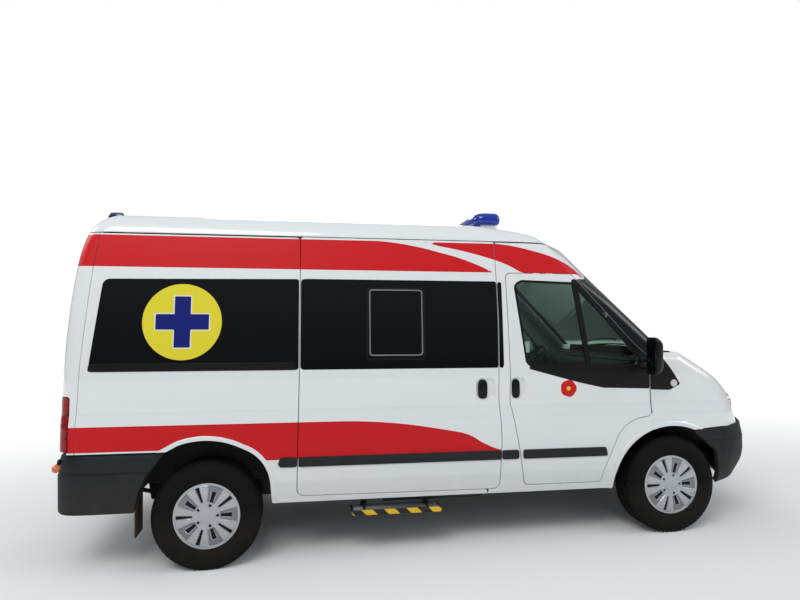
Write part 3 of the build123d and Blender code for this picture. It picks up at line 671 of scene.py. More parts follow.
@dataclass
class SkinMesh:
    """Triangles that lie on a skin, each with a number for its finish."""

    skin: object
    p: Points
    tris: np.ndarray
    kind: np.ndarray

    @classmethod
    def over(cls, skin: object, line: tuple, levels: tuple, size: tuple = (16, 95), bend: float = 0.13) -> "SkinMesh":
        """Cover a whole skin by rays from a line inside it.

        Args:
            skin: The skin to cover.
            line: Rear and front end of the line, along X.
            levels: Lowest level that is covered, and the height of the line.
            size: Shortest and longest length wanted of the triangles' edges.
            bend: Most that the skin may turn along an edge, in radians.

        Returns:
            The mesh.
        """
        quarter = np.radians(np.arange(0, 90.1, 4.5))
        xs = np.linspace(*line, max(2, round((line[1] - line[0]) / size[1])))
        u = [(xs[0], -a) for a in quarter[:0:-1]] + [(x, 0.0) for x in xs] + [(xs[-1], a) for a in quarter[1:]]
        zs = np.linspace(*levels, max(2, round((levels[1] - levels[0]) / size[1])))
        v = [(z, 0.0) for z in zs[:-1]] + [(zs[-1], b) for b in quarter]
        points, faces = [], []
        for sign in (1, -1):
            grid = np.array([(x, z, a, b) for z, b in v for x, a in u])
            start = np.column_stack([grid[:, 0], np.zeros(len(grid)), grid[:, 1]])
            a, b = grid[:, 2], grid[:, 3]
            way = np.column_stack([np.sin(a) * np.cos(b), sign * np.cos(a) * np.cos(b), np.sin(b)])
            low, high = np.zeros(len(start)), np.full(len(start), 4000.0)
            for _ in range(26):
                middle = (low + high) / 2
                out = skin.field(start + way * middle[:, None]) > 0
                high, low = np.where(out, middle, high), np.where(out, low, middle)
            n = len(u)
            i, j = np.meshgrid(np.arange(n - 1), np.arange(len(v) - 1))
            k = (j * n + i).ravel()
            tri = np.concatenate([np.column_stack([k, k + 1, k + n + 1]), np.column_stack([k, k + n + 1, k + n])])
            faces.append((tri if sign < 0 else tri[:, ::-1]) + sum(len(q) for q in points))
            points.append(start + way * ((low + high) / 2)[:, None])
        mesh = cls(skin, np.concatenate(points), np.concatenate(faces), np.zeros(0, int))
        mesh.kind = np.zeros(len(mesh.tris), int)
        mesh.weld(0.5)
        for _ in range(5):
            e, back = mesh.edges()
            length = mesh.lengths(e)
            n = unit(measure(skin.field, mesh.p)[1])
            turn = np.linalg.norm(n[e[:, 0]] - n[e[:, 1]], axis=1)
            if not mesh.split(e, back, ((turn > bend) & (length > 1.6 * size[0])) | (length > 1.5 * size[1])):
                break
        return mesh

    def weld(self, near: float) -> None:
        """Join points that share a place and drop faces that have shrunk to nothing."""
        key = np.round(self.p / near).astype(np.int64)
        _, first, back = np.unique(key, axis=0, return_index=True, return_inverse=True)
        self.p, self.tris = self.p[first], back.reshape(-1)[self.tris]
        t = self.tris
        keep = (t[:, 0] != t[:, 1]) & (t[:, 1] != t[:, 2]) & (t[:, 2] != t[:, 0])
        self.tris, self.kind = t[keep], self.kind[keep]

    def edges(self) -> tuple[np.ndarray, np.ndarray]:
        """Every edge once, and the edge number of each side of each face, side by side.

        Returns:
            The edges as pairs of points, and the numbers.
        """
        t = self.tris
        e = np.sort(np.concatenate([t[:, [0, 1]], t[:, [1, 2]], t[:, [2, 0]]]), axis=1)
        key, back = np.unique(e[:, 0] * np.int64(len(self.p)) + e[:, 1], return_inverse=True)
        return np.column_stack([key // len(self.p), key % len(self.p)]), back.reshape(-1)

    def lengths(self, e: np.ndarray) -> np.ndarray:
        """The length of each edge."""
        return np.linalg.norm(self.p[e[:, 0]] - self.p[e[:, 1]], axis=1)

    def split(self, e: np.ndarray, back: np.ndarray, marked: np.ndarray, share: np.ndarray | None = None) -> bool:
        """Split marked edges, and the faces on them to match.

        Args:
            e: The edges, as edges() gives them.
            back: The edge numbers, as edges() gives them.
            marked: Which edges to split.
            share: How far along each edge, or None for the middle.

        Returns:
            Whether anything was split.
        """
        if not marked.any():
            return False
        number = np.full(len(e), -1)
        number[marked] = len(self.p) + np.arange(int(marked.sum()))
        a, b = self.p[e[marked, 0]], self.p[e[marked, 1]]
        part = 0.5 if share is None else share[marked][:, None]
        self.p = np.concatenate([self.p, settle(self.skin, a + (b - a) * part, 2)])
        t, k = self.tris, len(self.tris)
        m = np.column_stack([number[back[:k]], number[back[k : 2 * k]], number[back[2 * k :]]])
        has = m >= 0
        total = has.sum(1)
        out, kinds = [t[total == 0]], [self.kind[total == 0]]
        for turn in range(3):
            r = [(turn + q) % 3 for q in range(3)]
            sel = (total == 1) & has[:, r[0]]
            a, b, c, d = t[sel, r[0]], t[sel, r[1]], t[sel, r[2]], m[sel, r[0]]
            out += [np.column_stack([a, d, c]), np.column_stack([d, b, c])]
            kinds += [self.kind[sel]] * 2
            sel = (total == 2) & ~has[:, r[2]]
            a, b, c = t[sel, r[0]], t[sel, r[1]], t[sel, r[2]]
            d, f = m[sel, r[0]], m[sel, r[1]]
            out += [np.column_stack([d, b, f]), np.column_stack([a, d, f]), np.column_stack([a, f, c])]
            kinds += [self.kind[sel]] * 3
        sel = total == 3
        a, b, c = t[sel].T
        d, f, g = m[sel].T
        out += [np.column_stack(q) for q in ((a, d, g), (d, b, f), (g, f, c), (d, f, g))]
        kinds += [self.kind[sel]] * 4
        self.tris, self.kind = np.concatenate(out), np.concatenate(kinds)
        return True

    def cut(self, region: object, kind: int | None = None, fine: float = 18.5) -> "SkinMesh":
        """Cut along the edge of a region.

        Args:
            region: What gives the signed distance.
            kind: Number to give the faces inside, or None to keep only those faces.
            fine: Length of the triangles' edges near the cut.

        Returns:
            The cut mesh; this one is left as it was.
        """
        mesh = SkinMesh(self.skin, self.p.copy(), self.tris.copy(), self.kind.copy())
        g = region.value(mesh.p)
        if kind is None:
            corner = mesh.p[mesh.tris]
            reach = np.linalg.norm(corner - np.roll(corner, 1, axis=1), axis=2).max(1)
            near = (g[mesh.tris] < reach[:, None]).any(1)
            mesh.tris, mesh.kind = mesh.tris[near], mesh.kind[near]
            used, back = np.unique(mesh.tris, return_inverse=True)
            mesh.p, mesh.tris, g = mesh.p[used], back.reshape(-1, 3), g[used]
        for _ in range(5):
            e, back = mesh.edges()
            length = mesh.lengths(e)
            low = np.minimum(np.abs(g[e[:, 0]]), np.abs(g[e[:, 1]]))
            low = np.where(g[e[:, 0]] * g[e[:, 1]] < 0, 0, low)
            before = len(mesh.p)
            if not mesh.split(e, back, length > 1.5 * np.maximum(fine, 0.7 * low)):
                break
            g = np.concatenate([g, region.value(mesh.p[before:])])
        for _ in range(2):
            e, _ = mesh.edges()
            size = mesh.lengths(e)
            length = np.full(len(mesh.p), 1e9)
            np.minimum.at(length, e[:, 0], size)
            np.minimum.at(length, e[:, 1], size)
            close = np.flatnonzero((np.abs(g) < 0.3 * length) & (np.abs(g) > 1e-9))
            if not len(close):
                break
            p = mesh.slide(region, mesh.p[close], 2)
            good = (np.linalg.norm(p - mesh.p[close], axis=1) < 0.5 * length[close])
            good &= np.abs(region.value(p)) < 0.3
            mesh.p[close[good]], g[close[good]] = p[good], 0.0
        e, back = mesh.edges()
        ga, gb = g[e[:, 0]], g[e[:, 1]]
        share = ga / np.where(np.abs(ga - gb) < 1e-9, 1.0, ga - gb)
        before = len(mesh.p)
        mesh.split(e, back, ga * gb < 0, np.clip(share, 0.03, 0.97))
        if before < len(mesh.p):
            new = mesh.p[before:]
            p = mesh.slide(region, new, 2)
            far = np.linalg.norm(p - new, axis=1)[:, None] > 4.0
            mesh.p[before:] = np.where(far, new, p)
        g = np.concatenate([g, np.zeros(len(mesh.p) - before)])
        total = g[mesh.tris]
        deep = total[np.arange(len(total)), np.abs(total).argmax(1)] < 0
        if kind is None:
            mesh.tris, mesh.kind = mesh.tris[deep], mesh.kind[deep]
        else:
            mesh.kind = np.where(deep, kind, mesh.kind)
        used, back = np.unique(mesh.tris, return_inverse=True)
        done = SkinMesh(mesh.skin, mesh.p[used], back.reshape(-1, 3), mesh.kind)
        done.weld(0.4)
        return done

    def slide(self, region: object, p: Points, turns: int) -> Points:
        """Move points along the skin to the edge of a region.

        Args:
            region: The region.
            p: Points on the skin.
            turns: How often to step.

        Returns:
            The points on the edge.
        """
        for _ in range(turns):
            value, slope = measure(region.value, p)
            n = unit(measure(self.skin.field, p)[1])
            slope = slope - (slope * n).sum(1)[:, None] * n
            p = settle(self.skin, p - slope * (value / np.maximum((slope**2).sum(1), 0.05))[:, None], 1)
        return p

    def rim(self) -> np.ndarray:
        """Edges that have a face on one side only, each as it runs round its face.

        Returns:
            Pairs of points.
        """
        t = self.tris
        e = np.concatenate([t[:, [0, 1]], t[:, [1, 2]], t[:, [2, 0]]])
        key = e.min(1) * np.int64(len(self.p)) + e.max(1)
        _, back, counts = np.unique(key, return_inverse=True, return_counts=True)
        return e[counts[back.reshape(-1)] == 1]


# Turns, in radians, at which the rounded edges of sheets and of plates get a ring of points
QUARTER_TURN = 1.5708
ROLL_TURNS = (0.52, 1.05, QUARTER_TURN)
BEVEL_TURNS = (0.0, 0.5236, 1.0472, QUARTER_TURN)


@dataclass
class Sheet:
    """Pressed sheet on a skin: an outer face, rolled edges, walls and an inner face."""

    base: SkinMesh
    roll: float = 3.0
    depth: float = 40.0
    lift: float = 0.0
    shape: Callable | None = None

    def normal(self, p: Points) -> Points:
        """Outward unit normals of the bare skin."""
        return unit(measure(self.base.skin.field, p)[1])

    def outer(self, p: Points) -> Points:
        """Where points of the skin go once the sheet has its forms.

        Args:
            p: Points of the skin.

        Returns:
            The raised points.
        """
        raised = np.full(len(p), self.lift)
        if self.shape:
            raised = raised + self.shape(p)
        return p + self.normal(p) * raised[:, None]

    def facing(self, p: Points) -> Points:
        """Outward normals of the sheet's outer face.

        Args:
            p: Points of the skin.

        Returns:
            A unit vector for each.
        """
        n = self.normal(p)
        if not self.shape:
            return n
        helper = np.where(np.abs(n[:, 2:3]) < 0.9, np.array([[0, 0, 1.0]]), np.array([[1.0, 0, 0]]))
        u = unit(np.cross(helper, n))
        v = np.cross(n, u)
        spans = [self.outer(p + w * 0.8) - self.outer(p - w * 0.8) for w in (u, v)]
        return unit(np.cross(*spans))

    def mesh(self) -> "Mesh":
        """Make the whole sheet as one closed mesh, its kinds as finish numbers.

        Returns:
            The mesh.
        """
        base = self.base
        top, n = self.outer(base.p), self.facing(base.p)
        t = base.tris
        cross = np.cross(top[t[:, 1]] - top[t[:, 0]], top[t[:, 2]] - top[t[:, 0]])
        t = np.where(((cross * n[t[:, 0]]).sum(1) < 0)[:, None], t[:, ::-1], t)
        base.tris = t
        rim = base.rim()
        mesh = Mesh()
        mesh.add(top, t, base.kind, n)
        out = unit(np.cross(top[rim[:, 1]] - top[rim[:, 0]], n[rim[:, 0]]))
        e = np.zeros_like(top)
        np.add.at(e, rim[:, 0], out)
        np.add.at(e, rim[:, 1], out)
        e = unit(e)
        where = np.full(len(top), -1)
        ids = np.unique(rim)
        where[ids] = np.arange(len(ids))
        a, b = where[rim[:, 0]], where[rim[:, 1]]
        q, m, w = top[ids], n[ids], e[ids]
        r = self.roll
        rings, facing = [q], [m]
        for angle in ROLL_TURNS:
            rings.append(q + w * r * math.sin(angle) - m * r * (1 - math.cos(angle)))
            facing.append(m * math.cos(angle) + w * math.sin(angle))
        rings.append(rings[-1] - self.normal(base.p[ids]) * self.depth)
        facing.append(w)
        colour = np.zeros(len(top), int)
        for corner in range(3):
            np.maximum.at(colour, t[:, corner], base.kind)
        count = len(ids)
        faces, finish = [], []
        for k in range(len(rings) - 1):
            quads = np.column_stack([k * count + a, (k + 1) * count + a, (k + 1) * count + b, k * count + b])
            faces += quads.tolist()
            finish += (np.minimum(colour[rim[:, 0]], colour[rim[:, 1]]) if k < len(ROLL_TURNS) else
                       np.zeros(len(rim), int)).tolist()
        mesh.add(np.concatenate(rings), faces, finish, np.concatenate(facing))
        back = base.p + self.normal(base.p) * (self.lift - self.roll - self.depth)
        back[ids] = rings[-1]
        mesh.add(back, t[:, ::-1], 0, -self.normal(base.p))
        return mesh


def outward(points: Points, faces: list) -> list:
    """Turn all faces round if the closed form they make is inside out.

    Args:
        points: Points about the form's middle.
        faces: Faces on them.

    Returns:
        The faces.
    """
    total = 0.0
    for face in faces:
        a = points[face[0]]
        for i, j in zip(face[1:-1], face[2:]):
            total += float(np.dot(a, np.cross(points[i], points[j])))
    return faces if total > 0 else [tuple(reversed(f)) for f in faces]


def loft(rings: Sequence, finish: int = 0, looped: bool = False) -> Mesh:
    """Skin over rings of equally many points, with a cap on each end.

    Args:
        rings: Closed rings of points, in order.
        finish: Finish number.
        looped: Whether the last ring joins the first, as in a torus.

    Returns:
        The closed form.
    """
    rings = [np.asarray(r, float) for r in rings]
    n, count = len(rings[0]), len(rings)
    points = np.concatenate(rings)
    faces = []
    for k in range(count if looped else count - 1):
        a, b = k * n, ((k + 1) % count) * n
        faces += [(a + i, a + (i + 1) % n, b + (i + 1) % n, b + i) for i in range(n)]
    if not looped:
        faces += [tuple(range(n))[::-1], tuple(range((count - 1) * n, count * n))]
    mesh = Mesh()
    middle = points.mean(0)
    mesh.add(points, outward(points - middle, faces), finish)
    return mesh


@dataclass(frozen=True)
class Face:
    """A place and two directions to draw on; out is square to both."""

    origin: tuple[float, float, float]
    u: tuple[float, float, float]
    v: tuple[float, float, float]

    @property
    def out(self) -> Points:
        """The direction square to the face."""
        return np.cross(self.u, self.v)

    def points(self, uv: Points, high: float | Points = 0.0) -> Points:
        """Points of the drawing in space, at a height above it.

        Args:
            uv: Points of the drawing.
            high: Height, one or one per point.

        Returns:
            The points.
        """
        uv = np.asarray(uv, float)
        lift = np.full(len(uv), high) if np.isscalar(high) else np.asarray(high)
        return (np.array(self.origin) + uv[:, :1] * np.array(self.u) + uv[:, 1:2] * np.array(self.v)
                + lift[:, None] * self.out)


def right_face(y: float) -> Face:
    """The drawing plane (x, z) seen from the right; out is away from the van."""
    return Face((0.0, y, 0.0), (1.0, 0.0, 0.0), (0.0, 0.0, 1.0))


def rear_face(x: float) -> Face:
    """The drawing plane (-y, z) seen from behind; out is rearwards."""
    return Face((x, 0.0, 0.0), (0.0, -1.0, 0.0), (0.0, 0.0, 1.0))


LEVEL_FACE = Face((0.0, 0.0, 0.0), (1.0, 0.0, 0.0), (0.0, 1.0, 0.0))


def grown(loop: Points, by: float) -> Points:
    """A loop whose points have moved outwards.

    Args:
        loop: The loop, anticlockwise.
        by: How far.

    Returns:
        The loop.
    """
    t = np.roll(loop, -1, axis=0) - np.roll(loop, 1, axis=0)
    t /= np.maximum(np.linalg.norm(t, axis=1), 1e-9)[:, None]
    return loop + np.column_stack([t[:, 1], -t[:, 0]]) * by


def slab(loop: Points, face: Face, low: float, high: float, bevel: float = 2.0, finish: int = 0) -> Mesh:
    """A plate with an outline, rounded along both its rims.

    Args:
        loop: The outline, (u, v), anticlockwise.
        face: Where it is drawn.
        low: One level of the plate.
        high: The other level.
        bevel: How far the rims are rounded.
        finish: Finish number.

    Returns:
        The closed plate.
    """
    rings = []
    for level, up in ((low, 1), (high, -1)):
        for angle in BEVEL_TURNS[::up]:
            inset, rise = bevel * (1 - math.sin(angle)), bevel * (1 - math.cos(angle))
            rings.append(face.points(grown(loop, -inset), level + up * rise))
    return loft(rings, finish)


def box(x0: float, y0: float, x1: float, y1: float, radius: float | Sequence[float] = 0.0) -> Points:
    """A rectangle between two corners, with rounded corners, as a loop."""
    return outline([(x0, y0), (x1, y0), (x1, y1), (x0, y1)], radius)


def rounded(width: float, height: float, radius: float, middle: tuple = (0.0, 0.0)) -> Points:
    """A rectangle with round corners, as a loop.

    Args:
        width: Its size along the first axis.
        height: Its size along the second.
        radius: Corner radius.
        middle: Its middle.

    Returns:
        The loop.
    """
    x, y = width / 2, height / 2
    mx, my = middle
    return outline([(mx - x, my - y), (mx + x, my - y), (mx + x, my + y), (mx - x, my + y)], radius, 6)


def circle(radius: float, middle: tuple = (0.0, 0.0), count: int = 40) -> Points:
    """A circle as a loop."""
    a = around(count)
    return np.column_stack([middle[0] + radius * np.cos(a), middle[1] + radius * np.sin(a)])


def at_level(loop: Points, z: float) -> Points:
    """A level loop's points in space."""
    return np.column_stack([loop, np.full(len(loop), z)])


def evened(rings: Sequence[Points]) -> list:
    """Rings thinned to equally many points, so that they can be lofted."""
    count = min(len(r) for r in rings)
    return [r[np.linspace(0, len(r), count, endpoint=False).astype(int)] for r in rings]


def tube(path: Sequence, radius: float, sides: int = 12, finish: int = 0, looped: bool = False,
         flat: float = 1.0) -> Mesh:
    """A round bar along a path.

    Args:
        path: Points of its centre line.
        radius: Its radius.
        sides: Points round it.
        finish: Finish number.
        looped: Whether its end joins its start.
        flat: Its height as a share of its width.

    Returns:
        The closed bar.
    """
    path = np.asarray(path, float)
    ahead = np.roll(path, -1, axis=0) - np.roll(path, 1, axis=0)
    if not looped:
        ahead[0], ahead[-1] = path[1] - path[0], path[-1] - path[-2]
    ahead = unit(ahead)
    helper = np.array([0.0, 0.0, 1.0]) if abs(ahead[0][2]) < 0.9 else np.array([1.0, 0.0, 0.0])
    side = np.cross(ahead[0], helper)
    rings = []
    for p, t in zip(path, ahead):
        side = side - t * float(side @ t)
        side = side / np.linalg.norm(side)
        up = np.cross(side, t)
        a = around(sides)
        rings.append(p + radius * (np.cos(a)[:, None] * side + flat * np.sin(a)[:, None] * up))
    return loft(rings, finish, looped)


def lathe(profile: Sequence, centre: Sequence, axis: Sequence, count: int = 64, finish: int = 0,
          looped: bool = False) -> Mesh:
    """Turn a profile of (radius, height) rows about an axis.

    Args:
        profile: The rows.
        centre: Where the axis has height zero.
        axis: Its direction.
        count: Points round it.
        finish: Finish number.
        looped: Whether the last row joins the first.

    Returns:
        The closed form.
    """
    axis = np.array(axis, float) / np.linalg.norm(axis)
    helper = np.array([1.0, 0.0, 0.0]) if abs(axis[0]) < 0.9 else np.array([0.0, 0.0, 1.0])
    u = np.cross(axis, helper)
    u /= np.linalg.norm(u)
    v = np.cross(axis, u)
    a = around(count)
    rings = [np.array(centre) + axis * h + max(r, 0.05) * (np.cos(a)[:, None] * u + np.sin(a)[:, None] * v)
             for r, h in profile]
    return loft(rings, finish, looped)


def together(*meshes: Mesh) -> Mesh:
    """Several meshes as one.

    Args:
        *meshes: The meshes, which stay as they are.

    Returns:
        The whole.
    """
    whole = Mesh()
    for mesh in meshes:
        whole.join(mesh)
    return whole


def linear(hex_colour: str) -> tuple[float, float, float, float]:
    """Turn an sRGB hex colour into the linear values that a shader wants."""
    parts = [int(hex_colour.lstrip("#")[k : k + 2], 16) / 255 for k in (0, 2, 4)]
    return (*(c / 12.92 if c <= 0.04045 else ((c + 0.055) / 1.055) ** 2.4 for c in parts), 1.0)


def add_node(tree: bpy.types.NodeTree, kind: str, inputs: dict | None = None, **settings) -> bpy.types.Node:
    """Add a node to a tree, with its settings, and its inputs set or linked.

    Args:
        tree: The tree that gets the node.
        kind: The node's type name.
        inputs: Values, or sockets to link from, by input name or number.
        **settings: Attributes to set on the node first.

    Returns:
        The node.
    """
    made = tree.nodes.new(kind)
    for name, value in settings.items():
        setattr(made, name, value)
    for name, value in (inputs or {}).items():
        if isinstance(value, bpy.types.NodeSocket):
            tree.links.new(value, made.inputs[name])
        else:
            made.inputs[name].default_value = value
    return made


def blank_tree(owner: bpy.types.ID) -> bpy.types.NodeTree:
    """Switch on and empty the node tree of a material or a world."""
    owner.use_nodes = True
    owner.node_tree.nodes.clear()
    return owner.node_tree


def reckon(tree: bpy.types.NodeTree, operation: str, *values) -> bpy.types.NodeSocket:
    """Add a sum on one or two values and give its result."""
    return add_node(tree, "ShaderNodeMath", dict(enumerate(values)), operation=operation).outputs["Value"]


def mixed(tree: bpy.types.NodeTree, factor: object, first: object, second: object) -> bpy.types.NodeSocket:
    """Mix two colours by a factor and give the result."""
    return add_node(tree, "ShaderNodeMix", {"Factor": factor, 6: first, 7: second}, data_type="RGBA").outputs[2]


@dataclass(frozen=True)
class Finish:
    """A surface: what it is made of, its colour, gloss and grain, and how it has worn."""

    name: str
    colour: str
    roughness: float = 0.4
    metallic: float = 0.0
    ior: float = 1.5
    coat: float = 0.0
    coat_roughness: float = 0.03
    transmission: float = 0.0
    glow: float = 0.0
    grain_mm: float = 0.0
    grain_depth_mm: float = 0.0
    mottle: float = 0.06
    mottle_mm: float = 260.0
    gloss_spread: float = 0.06
    grime: float = 0.0
    grime_top_m: float = 0.75

    def build(self) -> bpy.types.Material:
        """Make the material.

        Returns:
            The material.
        """
        material = bpy.data.materials.new(self.name)
        tree = blank_tree(material)
        place = add_node(tree, "ShaderNodeTexCoord").outputs["Object"]
        colour = self.tint(tree, place)
        shade = add_node(tree, "ShaderNodeTexNoise", {"Vector": place, "Scale": 1000 / 90, "Detail": 4.0})
        gloss = add_node(tree, "ShaderNodeMapRange", {
            "Value": shade.outputs["Fac"], "From Min": 0.3, "From Max": 0.7,
            "To Min": max(0.02, self.roughness - self.gloss_spread / 2),
            "To Max": min(1.0, self.roughness + self.gloss_spread / 2)})
        shader = add_node(tree, "ShaderNodeBsdfPrincipled", {
            "Base Color": colour, "Roughness": gloss.outputs["Result"], "Metallic": self.metallic,
            "IOR": self.ior, "Coat Weight": self.coat, "Coat Roughness": self.coat_roughness,
            "Transmission Weight": self.transmission})
        if self.glow:
            shader.inputs["Emission Color"].default_value = linear(self.colour)
            shader.inputs["Emission Strength"].default_value = self.glow
        if self.grain_mm:
            self.emboss(tree, place, shader)
        add_node(tree, "ShaderNodeOutputMaterial", {"Surface": shader.outputs["BSDF"]})
        return material

    def tint(self, tree: bpy.types.NodeTree, place: bpy.types.NodeSocket) -> bpy.types.NodeSocket:
        """Colour with slow variation and road grime low down.

        Args:
            tree: The material's tree.
            place: The socket with the place on the object.

        Returns:
            The socket with the colour.
        """
        base = linear(self.colour)
        dark = tuple(c * (1 - self.mottle) for c in base[:3]) + (1.0,)
        cloud = add_node(tree, "ShaderNodeTexNoise", {"Vector": place, "Scale": 1000 / self.mottle_mm, "Detail": 5.0})
        clean = mixed(tree, cloud.outputs["Fac"], dark, base)
        if not self.grime:
            return clean
        split = add_node(tree, "ShaderNodeSeparateXYZ", {"Vector": place})
        height = add_node(tree, "ShaderNodeMapRange", {"Value": split.outputs["Z"], "From Min": 0.25,
                                                       "From Max": self.grime_top_m, "To Min": 1.0, "To Max": 0.0})
        spots = add_node(tree, "ShaderNodeTexNoise", {"Vector": place, "Scale": 1000 / 60, "Detail": 8.0,
                                                      "Roughness": 0.7})
        amount = reckon(tree, "MULTIPLY", height.outputs["Result"], spots.outputs["Fac"])
        return mixed(tree, reckon(tree, "MULTIPLY", amount, self.grime), clean, linear(GRIME_COLOUR))

    def emboss(self, tree: bpy.types.NodeTree, place: bpy.types.NodeSocket, shader: bpy.types.Node) -> None:
        """Raise the grain of the surface as a bump.

        Args:
            tree: The material's tree.
            place: The socket with the place on the object.
            shader: The node that gets the bump.
        """
        cells = add_node(tree, "ShaderNodeTexVoronoi", {"Vector": place, "Scale": 1000 / self.grain_mm},
                         feature="SMOOTH_F1")
        grain = add_node(tree, "ShaderNodeTexNoise", {"Vector": place, "Scale": 1000 / self.grain_mm / 2})
        self.raise_by(tree, shader, reckon(tree, "ADD", cells.outputs["Distance"], grain.outputs["Fac"]), 0.5)

    def raise_by(self, tree: bpy.types.NodeTree, shader: bpy.types.Node, height: object, strength: float) -> None:
        """Feed a height to the shader as a bump as deep as the grain.

        Args:
            tree: The material's tree.
            shader: The node that gets the bump.
            height: The socket with the height.
            strength: How strongly it shows.
        """
        bump = add_node(tree, "ShaderNodeBump", {"Height": height, "Strength": strength,
                                                 "Distance": self.grain_depth_mm / 1000})
        tree.links.new(bump.outputs["Normal"], shader.inputs["Normal"])


@dataclass(frozen=True)
class Hazard(Finish):
    """Yellow and black slanting bars painted on an edge."""

    second: str = "#141414"
    bar_mm: float = 75.0

    def tint(self, tree: bpy.types.NodeTree, place: bpy.types.NodeSocket) -> bpy.types.NodeSocket:
        """Bars that slant across the edge.

        Args:
            tree: The material's tree.
            place: The socket with the place on the object.

        Returns:
            The socket with the colour.
        """
        split = add_node(tree, "ShaderNodeSeparateXYZ", {"Vector": place})
        lean = reckon(tree, "ADD", split.outputs["X"], split.outputs["Z"])
        part = reckon(tree, "FRACT", reckon(tree, "MULTIPLY", lean, 500 / self.bar_mm))
        return mixed(tree, reckon(tree, "GREATER_THAN", part, 0.5), linear(self.colour), linear(self.second))


@dataclass(frozen=True)
class Weave(Finish):
    """Woven cloth: two sets of threads that pass over and under each other."""

    thread_mm: float = 3.0

    def emboss(self, tree: bpy.types.NodeTree, place: bpy.types.NodeSocket, shader: bpy.types.Node) -> None:
        """Raise the threads.

        Args:
            tree: The material's tree.
            place: The socket with the place on the object.
            shader: The node that gets the bump.
        """
        heights = []
        for axis in ("X", "Y", "Z"):
            wave = add_node(tree, "ShaderNodeTexWave", {"Vector": place, "Scale": 1000 / self.thread_mm / WAVE_TURN,
                                                        "Distortion": 0.4, "Detail": 1.0}, bands_direction=axis)
            heights.append(wave.outputs["Fac"])
        woven = reckon(tree, "ADD", reckon(tree, "MULTIPLY", *heights[:2]), heights[2])
        self.raise_by(tree, shader, woven, 0.6)


GRIME_COLOUR = "#8A8072"
# How many waves a wave texture draws per unit at scale one
WAVE_TURN = 6.28

